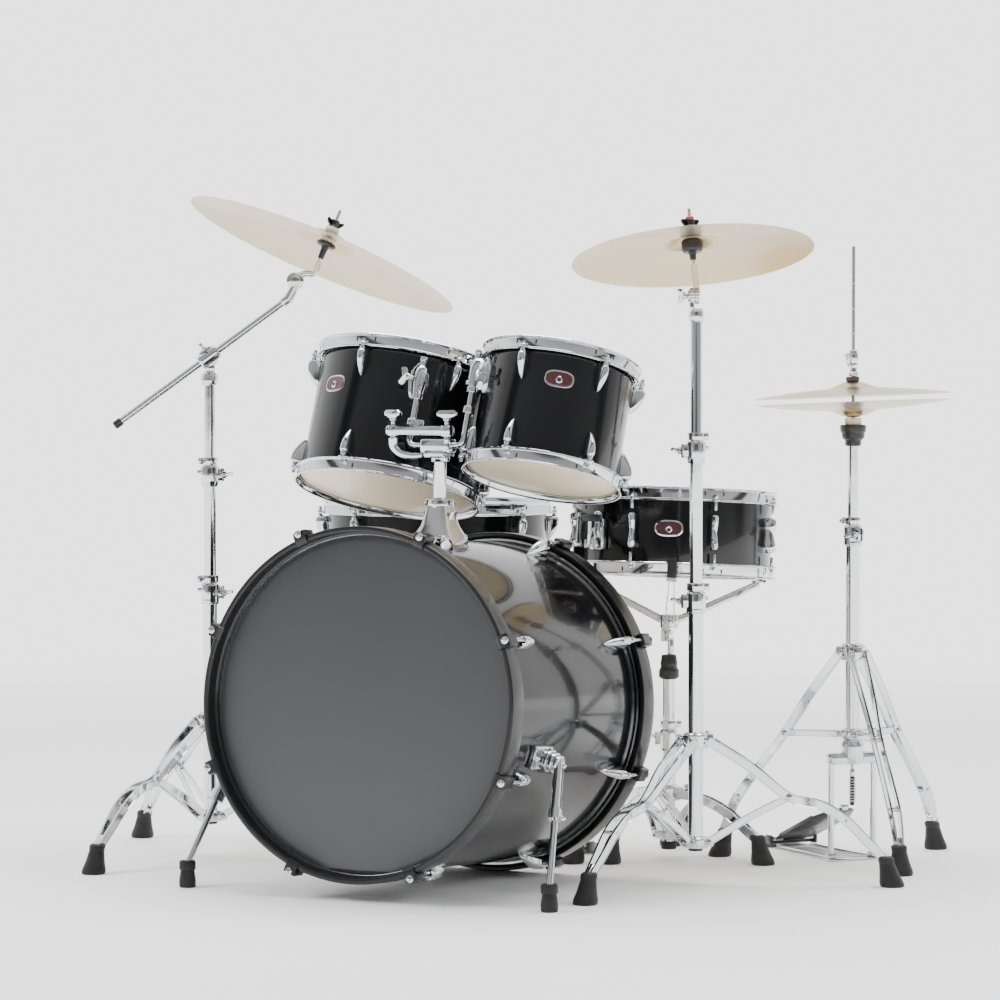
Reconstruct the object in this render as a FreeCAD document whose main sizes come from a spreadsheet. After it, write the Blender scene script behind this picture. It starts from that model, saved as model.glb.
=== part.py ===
import FreeCAD, Part
import math
import os
import re
import Sketcher
from FreeCAD import Placement, Rotation, Vector

# An acoustic drum kit: kick drum with two rack toms on a shared holder, floor tom, snare drum on
# its stand, ride cymbal on a boom stand, crash cymbal on a straight stand, hi-hat and kick pedal.
#
# Kit frame, millimetres: +Z up, the floor at Z = 0, -Y towards the audience, +Y towards the
# player. Lengths in the sheet are measured from the kick drum's centre; the rows centre_x and
# centre_y move the whole kit so that its origin is the middle of its bounding box on the floor.
# Each drum is drawn about its own axis, +Z up (the kick's points to the audience). Each stand is
# drawn about its main tube, with +X along its boom arm, wing bolts or footboard.

SIZES = {
    "place of the origin": {
        "centre_x": -64.9, "centre_y": 320.7,
    },
    "kick drum": {
        "kick_radius": 279.4, "kick_depth": 457.0, "kick_wall": 7.0,
        "kick_lean": 3.25, "kick_centre_z": 310.25, "kick_lug_count": 8,
        "kick_lug_turn": 22.5, "kick_hoop_inner": 286.0, "kick_hoop_outer": 296.0,
        "kick_hoop_depth": 40.0, "kick_hoop_overlap": 10.0, "kick_rod_circle": 303.0,
        "kick_lug_length": 62.0, "kick_lug_inset": 34.0, "kick_lug_width": 20.0,
        "kick_claw_width": 24.0,
    },
    "spurs": {
        "spur_turn": -15.8, "spur_forward": 117.0, "spur_pivot_radius": 312.0,
        "spur_foot_x": 347.0, "spur_foot_y": -228.0, "spur_rod_radius": 5.5,
        "spur_sleeve_radius": 8.0, "spur_disc_radius": 17.0, "spur_foot_radius": 14.0,
        "spur_foot_height": 46.0,
    },
    "shells and hoops of the other drums": {
        "shell_wall": 6.0, "hoop_metal": 2.0, "hoop_rise": 11.5, "hoop_drop": 12.0,
        "hoop_wall_gap": 5.4, "hoop_flange": 10.9, "ear_reach": 19.0, "ear_width": 16.0,
        "rod_offset": 14.0, "rod_radius": 2.8, "rod_hole": 3.3, "rod_head": 5.5,
        "lug_depth": 21.0, "lug_width": 15.0, "lug_height": 34.0, "lug_drop": 18.0,
    },
    "rack toms": {
        "high_tom_radius": 127.0, "high_tom_depth": 196.0, "high_tom_lugs": 6,
        "high_tom_turn": 30.0, "high_tom_x": 180.0, "high_tom_y": 98.0, "high_tom_z": 791.7,
        "mid_tom_radius": 152.4, "mid_tom_depth": 222.0, "mid_tom_lugs": 6,
        "mid_tom_turn": 30.0, "mid_tom_x": -134.0, "mid_tom_y": 122.7, "mid_tom_z": 776.2,
        "tom_lean_x": 0.03, "tom_lean_y": 0.298, "bracket_height": 48.0,
        "high_bracket_turn": -135.6, "mid_bracket_turn": -52.0, "bracket_reach": 20.0,
        "arm_radius": 5.25, "arm_hole": 5.55, "arm_level": 750.0,
    },
    "tom holder": {
        "post_x": 27.0, "post_y": -18.0, "post_radius": 11.0, "post_hole": 11.3,
        "post_bottom": 500.0, "post_top": 736.0, "collar_low": 646.0, "collar_top": 660.0,
        "base_low": 570.0, "base_width": 84.0, "base_top_width": 38.0,
    },
    "floor tom": {
        "floor_tom_radius": 203.2, "floor_tom_depth": 406.0, "floor_tom_lugs": 8,
        "floor_tom_turn": 30.0, "floor_tom_x": -317.0, "floor_tom_y": 588.0,
        "floor_tom_z": 420.0, "leg_radius": 5.5, "leg_offset": 24.0, "leg_kick_out": 30.0,
        "leg_top": 470.0,
    },
    "snare drum": {
        "snare_radius": 177.8, "snare_depth": 133.0, "snare_lugs": 8, "snare_turn": 4.0,
        "snare_x": 181.5, "snare_y": 560.8, "snare_z": 583.0, "snare_lean": 0.069,
        "snare_lug_height": 62.0, "throw_off_turn": -108.5,
    },
    "snare stand": {
        "snare_stand_x": 181.5, "snare_stand_y": 548.0, "basket_pivot_z": 400.0,
        "basket_turn": -63.5, "snare_tripod_turn": -5.0, "snare_leg_radius": 196.0,
    },
    "tripods": {
        "foot_radius": 335.0, "upper_hub_z": 247.0, "lower_hub_z": 73.0,
        "leg_mid_radius": 159.0, "leg_mid_z": 151.0, "leg_knee_radius": 256.0,
        "leg_knee_z": 112.0, "leg_end_radius": 322.0, "leg_end_z": 46.0,
        "strip_width": 14.0, "strip_metal": 2.5, "strip_gap": 9.0,
        "bell_height": 52.0, "bell_top": 12.0, "bell_bottom": 21.0,
    },
    "stand tubes": {
        "base_tube": 12.7, "base_bore": 11.4, "middle_tube": 11.1, "middle_bore": 9.8,
        "upper_tube": 9.5, "clamp_radius": 18.0, "clamp_height": 34.0,
    },
    "boom stand": {
        "boom_x": -560.8, "boom_y": 184.7, "boom_turn": 28.4, "boom_tripod_turn": -3.7,
        "boom_joint_1": 493.0, "boom_joint_2": 705.0, "boom_pivot_z": 900.0,
        "boom_arm_radius": 6.3, "boom_arm_bore": 6.6, "boom_arm_rear": -205.0,
        "boom_arm_front": 178.0, "boom_arm_slope": 36.1, "boom_arm_side": -10.0,
        "ride_pivot_x": 154.8, "ride_pivot_z": 1036.0, "ride_lean_x": 0.377,
        "ride_lean_y": 0.145, "ride_offset": 26.0, "ride_rise": 61.5,
    },
    "straight stand": {
        "straight_x": 396.0, "straight_y": 214.4, "straight_turn": 28.4,
        "straight_tripod_turn": -5.4, "straight_joint_1": 501.0, "straight_joint_2": 757.0,
        "crash_pivot_z": 1003.0, "crash_lean_x": -0.074, "crash_lean_y": 0.230,
        "crash_rise": 70.0,
    },
    "cymbals": {
        "ride_radius": 254.0, "ride_height": 46.0, "ride_bell": 62.0,
        "crash_radius": 207.0, "crash_height": 42.0, "crash_bell": 50.0,
        "hat_radius": 178.0, "hat_height": 26.0, "hat_bell": 46.0,
        "cymbal_metal": 1.3, "cymbal_hole": 6.5, "cymbal_rod": 3.0, "seat_radius": 18.0,
        "felt_radius": 13.0,
    },
    "hi-hat": {
        "hat_x": 484.5, "hat_y": 674.5, "hat_turn": 143.0, "hat_tripod_turn": -68.6,
        "hat_upper_hub_z": 372.0, "hat_ring_z": 226.0, "hat_leg_radius": 242.0,
        "hat_joint_z": 600.0, "hat_cup_z": 779.0, "hat_bottom_z": 819.0, "hat_top_z": 829.7,
        "hat_lean_x": 0.036, "hat_lean_y": 0.025, "hat_rod_radius": 3.2, "hat_rod_top": 1097.0,
        "hat_casting_z": 172.0, "hat_frame_side": 43.0, "hat_heel_x": 222.0,
        "hat_toe_x": 26.0, "hat_toe_z": 90.0,
    },
    "kick pedal": {
        "pedal_x": -12.0, "pedal_y": 300.0, "pedal_turn": 90.0, "axle_z": 215.0,
        "axle_radius": 5.0, "beater_length": 190.0, "beater_rest": 25.0,
        "pedal_heel_x": 222.0, "pedal_toe_x": 8.0, "pedal_toe_z": 104.0,
        "board_width": 84.0, "board_metal": 6.0, "heel_z": 18.0, "heel_length": 68.0,
    },
}
FUNCTIONS = ("sqrt", "sin", "cos", "deg")

doc = FreeCAD.newDocument("drum_kit")
sheet = doc.addObject("Spreadsheet::Sheet", "sizes")


def fill_sheet():
    row = 1
    for section, cells in SIZES.items():
        sheet.set(f"A{row}", section)
        row += 1
        for alias, size in cells.items():
            sheet.set(f"A{row}", alias)
            sheet.set(f"B{row}", str(size))
            sheet.setAlias(f"B{row}", alias)
            row += 1
    doc.recompute()


def formula(words):
    """A FreeCAD expression from a formula written in the sheet's words."""
    def prefix(word):
        return word.group() if word.group() in FUNCTIONS else "sizes." + word.group()
    return re.sub(r"[a-z]\w*", prefix, str(words))


def number(words):
    """The value of a formula written in the sheet's words."""
    if isinstance(words, (int, float)):
        return float(words)
    return float(sheet.evalExpression(formula(words)))


def point(x, y, z):
    return Vector(number(x), number(y), number(z))


def bind(item, **sizes):
    for name, words in sizes.items():
        if isinstance(words, str):
            item.setExpression(name, formula(words))
        else:
            setattr(item, name, words)


# ---- simple solids ----------------------------------------------------------------------

def cylinder(name, radius, height, at=(0, 0, 0), along=(0, 0, 1)):
    item = doc.addObject("Part::Cylinder", name)
    bind(item, Radius=radius, Height=height)
    item.Placement = Placement(point(*at), Rotation(Vector(0, 0, 1), point(*along)))
    return item


def rod(name, start, end, radius):
    """A round rod between two points."""
    a, b = point(*start), point(*end)
    item = doc.addObject("Part::Cylinder", name)
    squares = "+".join(f"(({q})-({p}))^2" for p, q in zip(start, end))
    bind(item, Radius=radius, Height=f"sqrt({squares})")
    item.Placement = Placement(a, Rotation(Vector(0, 0, 1), b - a))
    return item


def box(name, length, width, height, centre=(0, 0, 0), turn=None):
    """A block about its centre."""
    item = doc.addObject("Part::Box", name)
    bind(item, Length=length, Width=width, Height=height)
    turn = turn or Rotation()
    half = point(length, width, height) * 0.5
    item.Placement = Placement(point(*centre) - turn.multVec(half), turn)
    return item


def bar(name, start, end, width, metal):
    """A flat strip on edge: it runs from start to end, its thin side towards Y."""
    a, b = point(*start), point(*end)
    along = (b - a).normalize()
    side = (Vector(0, 1, 0) - along * along.y).normalize()
    turn = Rotation(along, side, along.cross(side), "XYZ")
    item = doc.addObject("Part::Box", name)
    squares = "+".join(f"(({q})-({p}))^2" for p, q in zip(start, end))
    bind(item, Length=f"sqrt({squares})", Width=metal, Height=width)
    back = turn.multVec(Vector(0, number(metal) / 2, number(width) / 2))
    item.Placement = Placement(a - back, turn)
    return item


def fused(name, *pieces):
    item = doc.addObject("Part::MultiFuse", name)
    item.Shapes = list(pieces)
    return item


def cut(name, base, *tools):
    item = doc.addObject("Part::Cut", name)
    item.Base = base
    item.Tool = tools[0] if len(tools) == 1 else fused(name + "_tools", *tools)
    return item


# ---- sketched solids --------------------------------------------------------------------

def new_body(name):
    body = doc.addObject("PartDesign::Body", name)
    body.AllowCompound = True
    return body


def plane(body, role):
    return next(f for f in body.Origin.OriginFeatures if f.Role == role)


def new_sketch(body, name, role, lift=0.0):
    sketch = body.newObject("Sketcher::SketchObject", name)
    sketch.AttachmentSupport = [(plane(body, role), "")]
    sketch.MapMode = "FlatFace"
    sketch.AttachmentOffset = Placement(Vector(0, 0, number(lift)), Rotation())
    return sketch


def draw_outline(sketch, corners):
    """A closed outline of straight edges, each corner held to the sheet by two constraints."""
    spots = [Vector(number(x), number(y), 0) for x, y in corners]
    count = len(spots)
    for i in range(count):
        sketch.addGeometry(Part.LineSegment(spots[i], spots[(i + 1) % count]), False)
    for i in range(count):
        sketch.addConstraint(Sketcher.Constraint("Coincident", i, 2, (i + 1) % count, 1))
    for i, corner in enumerate(corners):
        for kind, words in zip(("DistanceX", "DistanceY"), corner):
            place = number(words)
            index = sketch.addConstraint(Sketcher.Constraint(kind, -1, 1, i, 1, place))
            if isinstance(words, str):
                sketch.setExpression(f"Constraints[{index}]", formula(words))


def draw_circle(sketch, x, y, radius):
    sketch.addGeometry(Part.Circle(Vector(number(x), number(y), 0), Vector(0, 0, 1), number(radius)))
    for kind, words in (("DistanceX", x), ("DistanceY", y)):
        index = sketch.addConstraint(Sketcher.Constraint(kind, -1, 1, 0, 3, number(words)))
        if isinstance(words, str):
            sketch.setExpression(f"Constraints[{index}]", formula(words))
    index = sketch.addConstraint(Sketcher.Constraint("Radius", 0, number(radius)))
    sketch.setExpression(f"Constraints[{index}]", formula(radius))


def turned(name, outline):
    """A solid of revolution about Z from (radius, height) corners."""
    body = new_body(name)
    sketch = new_sketch(body, name + "_section", "XZ_Plane")
    draw_outline(sketch, outline)
    spin = body.newObject("PartDesign::Revolution", name + "_turned")
    spin.Profile = sketch
    spin.ReferenceAxis = (sketch, ["V_Axis"])
    spin.Angle = 360
    return body


def ring(name, inner, outer, low, high):
    return turned(name, [(inner, low), (outer, low), (outer, high), (inner, high)])


def pad(body, name, corners, low, height):
    sketch = new_sketch(body, name + "_sketch", "XY_Plane", low)
    draw_outline(sketch, corners)
    feature = body.newObject("PartDesign::Pad", name)
    feature.Profile = sketch
    bind(feature, Length=height)
    return feature


def side_pad(body, name, corners, width):
    """A block from an outline in the X-Z plane, as wide to each side of it."""
    sketch = new_sketch(body, name + "_sketch", "XZ_Plane")
    draw_outline(sketch, corners)
    feature = body.newObject("PartDesign::Pad", name)
    feature.Profile = sketch
    feature.SideType = "Symmetric"
    bind(feature, Length=width)
    return feature


def drill(body, name, x, radius, top, depth):
    """A round hole down from the height top."""
    sketch = new_sketch(body, name + "_sketch", "XY_Plane", top)
    draw_circle(sketch, x, 0.0, radius)
    feature = body.newObject("PartDesign::Pocket", name)
    feature.Profile = sketch
    bind(feature, Length=depth)
    return feature


def repeat(body, name, features, count):
    """The features repeated round Z."""
    feature = body.newObject("PartDesign::PolarPattern", name)
    feature.Originals = features
    feature.Axis = (plane(body, "Z_Axis"), [""])
    feature.Angle = 360
    bind(feature, Occurrences=count)
    body.Tip = feature
    return feature


# ---- sub-parts --------------------------------------------------------------------------

SUB_PARTS = []


def place(item, base, turn=None):
    """Set a piece at a point of the kit frame, whose centre moves to the box's middle."""
    x, y, z = base
    item.Placement = Placement(point(x, y, z), turn or Rotation())
    item.setExpression("Placement.Base.x", formula(f"{x} - centre_x"))
    item.setExpression("Placement.Base.y", formula(f"{y} - centre_y"))
    item.setExpression("Placement.Base.z", formula(z))


def sub_part(label, pieces, base, turn=None):
    """One node of the kit: a single piece, or a group of separate solids."""
    if len(pieces) == 1 and pieces[0].Placement.isIdentity():
        item = pieces[0]
        item.Label = label
    else:
        item = doc.addObject("Part::Compound", label)
        item.Label = label
        item.Links = list(pieces)
    place(item, base, turn)
    SUB_PARTS.append(item)
    return item


def upright(lean_x, lean_y):
    """The turn that leans +Z by the given components of its direction."""
    lean_x, lean_y = number(lean_x), number(lean_y)
    top = Vector(lean_x, lean_y, math.sqrt(1 - lean_x ** 2 - lean_y ** 2))
    return Rotation(Vector(0, 0, 1), top)


def about_z(degrees):
    return Rotation(Vector(0, 0, 1), number(degrees))


# ---- small parts shared by the units ------------------------------------------------------

def wing_bolt(name, at, along, length=16.0):
    """A bolt with two wings, standing off a clamp."""
    a, d = point(*at), point(*along).normalize()
    stem = cylinder(name + "_stem", 4.0, length, tuple(a), tuple(d))
    turn = Rotation(Vector(0, 0, 1), d)
    wings = box(name + "_wings", 30.0, 6.0, 12.0, tuple(a + d * (length + 4)), turn)
    return fused(name, stem, wings)


def bell_foot(name, x, y):
    """A rubber foot, wide at the floor."""
    foot = turned(name, [
        (0.0, 0.0), ("bell_bottom", 0.0), ("bell_bottom", 7.0),
        ("bell_top", "bell_height"), (0.0, "bell_height")])
    foot.Placement = Placement(point(x, y, 0.0), Rotation())
    return foot


def drum(name, lug_low, lug_high):
    """Shell, two heads, two hoops, and lugs with their tension rods, of one drum."""
    r, e = f"{name}_radius", f"{name}_depth / 2"
    shell = ring(name + "_shell", f"{r} - shell_wall", r, f"-({e})", e)
    heads, hoops, lugs, rods = [], [], [], []
    for side, sign in (("upper", 1), ("lower", -1)):
        def z(offset, sign=sign):
            return f"{sign} * ({e} + {offset})"
        heads.append(turned(f"{name}_{side}_head", [
            (0.0, z(0.2)), (f"{r} + 1.2", z(0.2)), (f"{r} + 1.2", z(-9)),
            (f"{r} + 4.6", z(-9)), (f"{r} + 4.6", z(1.2)), (0.0, z(1.2))]))
        hoops.append(hoop(f"{name}_{side}_hoop", r, z, sign, f"{name}_lugs"))
        rods.append(tension_rods(f"{name}_{side}_rods", r, z, sign, f"{name}_lugs"))
        if sign > 0 or lug_low:
            row = lug_row(f"{name}_{side}_lugs", r, z, sign, f"{name}_lugs", lug_low, lug_high)
            lugs.append(row)
    return shell, heads, hoops, lugs + rods


def hoop(name, r, z, sign, count):
    """A pressed steel hoop with three flanges and an ear at each tension rod."""
    wall = "hoop_wall_gap"
    body = turned(name, [
        (f"{r} + {wall}", z("-hoop_drop")), (f"{r} + hoop_flange", z("-hoop_drop")),
        (f"{r} + hoop_flange", z("-hoop_drop + hoop_metal")),
        (f"{r} + {wall} + hoop_metal", z("-hoop_drop + hoop_metal")),
        (f"{r} + {wall} + hoop_metal", z("hoop_rise - hoop_metal")),
        (f"{r} + hoop_flange", z("hoop_rise - hoop_metal")),
        (f"{r} + hoop_flange", z("hoop_rise")), (f"{r} + {wall}", z("hoop_rise")),
        (f"{r} + {wall}", z("3.4")), (f"{r} + 1.8", z("3.4")),
        (f"{r} + 1.8", z("1.5")), (f"{r} + {wall}", z("1.5"))])
    low = z("-hoop_drop") if sign > 0 else z("-hoop_drop + hoop_metal")
    ear = pad(body, name + "_ear", [
        (f"{r} + {wall} + 1", "-ear_width / 2"), (f"{r} + ear_reach - 4", "-ear_width / 2"),
        (f"{r} + ear_reach", "-ear_width / 4"), (f"{r} + ear_reach", "ear_width / 4"),
        (f"{r} + ear_reach - 4", "ear_width / 2"), (f"{r} + {wall} + 1", "ear_width / 2"),
    ], low, "hoop_metal")
    repeat(body, name + "_ears", [ear], count)
    hole = drill(body, name + "_hole", f"{r} + rod_offset", "rod_hole", f"{low} + 3", 4.0)
    repeat(body, name + "_holes", [hole], count)
    return body


def tension_rods(name, r, z, sign, count):
    """Threaded rods from the lugs through the hoop's ears, with washer and square head."""
    body = new_body(name)
    inner = z("-lug_drop - 12")
    ear = z("-hoop_drop + hoop_metal")
    head = z("-hoop_drop + hoop_metal + 8")
    low, high = (inner, ear) if sign > 0 else (ear, inner)
    stem = octagon(body, name + "_stem", f"{r} + rod_offset", "rod_radius", low, f"{high} - ({low})")
    low, high = (ear, head) if sign > 0 else (head, ear)
    top = octagon(body, name + "_head", f"{r} + rod_offset", "rod_head", low, f"{high} - ({low})")
    repeat(body, name + "_all", [stem, top], count)
    return body


def octagon(body, name, x, radius, low, height):
    """An eight-sided stud standing at the distance x from Z."""
    turns = [22.5 + 45 * i for i in range(8)]
    corners = [(f"{x} + {radius} * cos({a} * 1deg)", f"{radius} * sin({a} * 1deg)") for a in turns]
    return pad(body, name, corners, low, height)


def lug_row(name, r, z, sign, count, lug_low, lug_high):
    """The lug castings round one end of a shell, or round its middle, each with its rod hole."""
    body = new_body(name)
    if lug_low is None:
        low, high = "-snare_lug_height / 2", "snare_lug_height / 2"
    else:
        ends = (z(lug_low), z(lug_high))
        low, high = ends if sign > 0 else ends[::-1]
    block = pad(body, name + "_block", [
        (r, "-lug_width / 2"), (f"{r} + lug_depth * 0.6", "-lug_width / 2"),
        (f"{r} + lug_depth", "-lug_width / 4"), (f"{r} + lug_depth", "lug_width / 4"),
        (f"{r} + lug_depth * 0.6", "lug_width / 2"), (r, "lug_width / 2"),
    ], low, f"{high} - ({low})")
    if lug_low is None:
        hole = drill(body, name + "_hole", f"{r} + rod_offset", "rod_hole", f"{high} + 1", f"{high} - ({low}) + 2")
    elif sign > 0:
        hole = drill(body, name + "_hole", f"{r} + rod_offset", "rod_hole", f"{high} + 1", 16.0)
    else:
        hole = drill(body, name + "_hole", f"{r} + rod_offset", "rod_hole", f"{low} + 15", 16.0)
    repeat(body, name + "_all", [block, hole], count)
    return body


def drum_sub_parts(name, base, turn, lug_low="-lug_drop - lug_height", lug_high="-lug_drop"):
    """The four nodes of a drum, turned about its axis so that its lugs stand where they should."""
    shell, heads, hoops, lugs = drum(name, lug_low, lug_high)
    turn = turn.multiply(about_z(f"{name}_turn"))
    sub_part(name + "_shell", [shell], base, turn)
    sub_part(name + "_heads", heads, base, turn)
    sub_part(name + "_hoops", hoops, base, turn)
    sub_part(name + "_lugs_and_rods", lugs, base, turn)


# ---- kick drum --------------------------------------------------------------------------

KICK_BASE = ("0", "0", "kick_centre_z")


def kick_turn():
    """+Z of the drum points to the audience and up by the lean."""
    return Rotation(Vector(1, 0, 0), 90 - number("kick_lean"))


def kick_frame():
    return Placement(point(*KICK_BASE), kick_turn())


def in_kick(at, turn=None):
    """A placement of the kit frame as the kick drum's own frame sees it."""
    return kick_frame().inverse().multiply(Placement(point(*at), turn or Rotation()))


def kick_drum():
    r, e = "kick_radius", "kick_depth / 2"
    shell = ring("kick_shell_ring", f"{r} - kick_wall", r, f"-({e})", e)
    post_hole = cylinder("kick_post_hole", "post_hole + 1", 260.0)
    post_hole.Placement = in_kick(("post_x", "post_y", 400.0))
    turn = kick_turn()
    lug_turn = turn.multiply(about_z("kick_lug_turn"))
    sub_part("kick_shell", [cut("kick_shell", shell, post_hole)], KICK_BASE, turn)
    hoops, lugs, claws = [], [], []
    for side, sign in (("front", 1), ("batter", -1)):
        def z(offset, sign=sign):
            return f"{sign} * ({e} + {offset})"
        hoops.append(turned(f"kick_{side}_hoop", [
            ("kick_hoop_inner", z("-kick_hoop_overlap")), ("kick_hoop_outer", z("-kick_hoop_overlap")),
            ("kick_hoop_outer", z("kick_hoop_depth - kick_hoop_overlap")),
            ("kick_hoop_inner", z("kick_hoop_depth - kick_hoop_overlap")),
            ("kick_hoop_inner", z("8")), (f"{r} + 3", z("8")), (f"{r} + 3", z("2")),
            ("kick_hoop_inner", z("2"))]))
        head = turned(f"kick_{side}_head", [
            (0.0, z("0.3")), (f"{r} + 1.4", z("0.3")), (f"{r} + 1.4", z("-9")),
            (f"{r} + 5.4", z("-9")), (f"{r} + 5.4", z("1.7")), (0.0, z("1.7"))])
        sub_part(f"kick_{side}_head", [head], KICK_BASE, turn)
        lugs.append(kick_lugs(f"kick_{side}_lugs", z, sign))
        claws.append(kick_claws(f"kick_{side}_claws", z))
        claws.append(kick_rods(f"kick_{side}_rods", z, sign))
    sub_part("kick_hoops", hoops, KICK_BASE, turn)
    sub_part("kick_lugs_and_claws", lugs + claws, KICK_BASE, lug_turn)


def kick_lugs(name, z, sign):
    body = new_body(name)
    ends = (z("-kick_lug_inset - kick_lug_length"), z("-kick_lug_inset"))
    low, high = ends if sign > 0 else ends[::-1]
    wide, reach = "kick_lug_width / 2", "kick_rod_circle + 8"
    block = pad(body, name + "_block", [
        ("kick_radius", f"-({wide})"), ("kick_rod_circle", f"-({wide})"),
        (reach, f"-({wide}) / 2"), (reach, f"({wide}) / 2"),
        ("kick_rod_circle", wide), ("kick_radius", wide)], low, f"{high} - ({low})")
    top = f"{high} + 1" if sign > 0 else f"{low} + 21"
    hole = drill(body, name + "_hole", "kick_rod_circle", "rod_hole", top, 22.0)
    repeat(body, name + "_all", [block, hole], "kick_lug_count")
    return body


def kick_claws(name, z):
    """Claws over the outer edge of a wooden hoop."""
    body = new_body(name)
    outer, over = "kick_hoop_outer + 0.2", "kick_hoop_depth - kick_hoop_overlap"
    claw = side_pad(body, name + "_claw", [
        (outer, z(f"{over} - 28")), ("kick_rod_circle + 6", z(f"{over} - 24")),
        ("kick_rod_circle + 6", z(f"{over} + 4.2")), ("kick_hoop_inner - 2", z(f"{over} + 4.2")),
        ("kick_hoop_inner - 2", z(f"{over} + 0.2")), (outer, z(f"{over} + 0.2"))], "kick_claw_width")
    high = z(f"{over} + 10") if number(z("0")) > 0 else z(f"{over} - 40")
    hole = drill(body, name + "_hole", "kick_rod_circle", "rod_hole", high, 50.0)
    repeat(body, name + "_all", [claw, hole], "kick_lug_count")
    return body


def kick_rods(name, z, sign):
    body = new_body(name)
    inner, face = z("-kick_lug_inset - 12"), z("kick_hoop_depth - kick_hoop_overlap + 4.2")
    head = z("kick_hoop_depth - kick_hoop_overlap + 13")
    low, high = (inner, face) if sign > 0 else (face, inner)
    stem = octagon(body, name + "_stem", "kick_rod_circle", "rod_radius", low, f"{high} - ({low})")
    low, high = (face, head) if sign > 0 else (head, face)
    top = octagon(body, name + "_head", "kick_rod_circle", "rod_head", low, f"{high} - ({low})")
    repeat(body, name + "_all", [stem, top], "kick_lug_count")
    return body


def spurs():
    """Two folding legs on the kick shell, each on a disc that turns on its bracket."""
    brackets = []
    for side, sign in (("right", 1), ("left", -1)):
        turn = Rotation(Vector(0, 0, 1), number("spur_turn") if sign > 0 else 180 - number("spur_turn"))
        radial = turn.multVec(Vector(1, 0, 0))
        pivot = radial * number("spur_pivot_radius") + Vector(0, 0, number("spur_forward"))
        shell, gap = number("kick_radius"), 0.4
        plate = box(f"spur_{side}_plate", 15.0, 44.0, 66.0, (0, 0, 0), turn)
        plate.Placement.Base = radial * (shell + 7.5 - 7.0) + pivot - radial * number("spur_pivot_radius") \
            - turn.multVec(Vector(7.5, 22, 33)) + radial * 7.0
        outward = pivot - radial * (number("spur_pivot_radius") - shell - 12)
        boss = cylinder(f"spur_{side}_boss", "spur_disc_radius", number("spur_pivot_radius") - shell - 12 - gap,
                        tuple(outward), tuple(radial))
        saddle = cylinder(f"spur_{side}_saddle", "kick_radius", "kick_depth", (0, 0, "-kick_depth / 2"))
        brackets.append(cut(f"spur_{side}_bracket", fused(f"spur_{side}_casting", plate, boss), saddle))
        spur(side, sign, pivot, radial)
    frame_pieces = [doc.addObject("Part::Compound", "spur_brackets")]
    frame_pieces[0].Links = brackets
    sub_part("spur_brackets", frame_pieces, KICK_BASE, kick_turn())


def spur(side, sign, pivot, radial):
    """One spur about its pivot in the kit frame: disc, sleeve, rod and rubber foot."""
    frame = kick_frame()
    at = frame.multVec(pivot)
    axis = frame.Rotation.multVec(radial)
    foot = Vector(sign * number("spur_foot_x"), number("spur_foot_y"), 0) - at
    knee = axis * 9
    ankle = foot + Vector(0, 0, number("spur_foot_height") - 6)
    mid = knee + (ankle - knee) * 0.42
    disc = cylinder(f"spur_{side}_disc", "spur_disc_radius", 18.0, (0, 0, 0), tuple(axis))
    sleeve = rod(f"spur_{side}_sleeve", tuple(knee), tuple(mid), "spur_sleeve_radius")
    leg = rod(f"spur_{side}_rod", tuple(mid), tuple(ankle), "spur_rod_radius")
    lock = wing_bolt(f"spur_{side}_lock", tuple(mid - (ankle - knee).normalize() * 8), tuple(axis), 12.0)
    tip = turned(f"spur_{side}_tip", [
        (0.0, 0.0), ("spur_foot_radius", 0.0), ("spur_foot_radius * 0.72", "spur_foot_height"),
        (0.0, "spur_foot_height")])
    tip.Placement.Base = foot
    steel = fused(f"spur_{side}_steel", disc, sleeve, leg, lock)
    whole = cut(f"spur_{side}_leg", steel, cylinder(
        f"spur_{side}_tip_space", "spur_foot_radius", "spur_foot_height", tuple(foot)))
    sub_part(f"spur_{side}", [whole, tip], (str(at.x), str(at.y), str(at.z)))


# ---- tom holder and rack toms -----------------------------------------------------------

def tom_frame(name):
    spot = point(f"{name}_x", f"{name}_y", f"{name}_z")
    return Placement(spot, upright("tom_lean_x", "tom_lean_y"))


def arm_line(name):
    """Where a tom's L-shaped arm runs: its upper end, its lower end, and its bend."""
    frame = tom_frame(name)
    side = name.split("_")[0]
    reach = number(f"{name}_radius + bracket_reach")
    angle = math.radians(number(f"{side}_bracket_turn"))
    across = Vector(reach * math.cos(angle), reach * math.sin(angle), 0)
    top = frame.multVec(across + Vector(0, 0, number("bracket_height") + 40))
    down = frame.Rotation.multVec(Vector(0, 0, -1))
    bend = top + down * ((top.z - number("arm_level")) / -down.z)
    return top, bend


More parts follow.
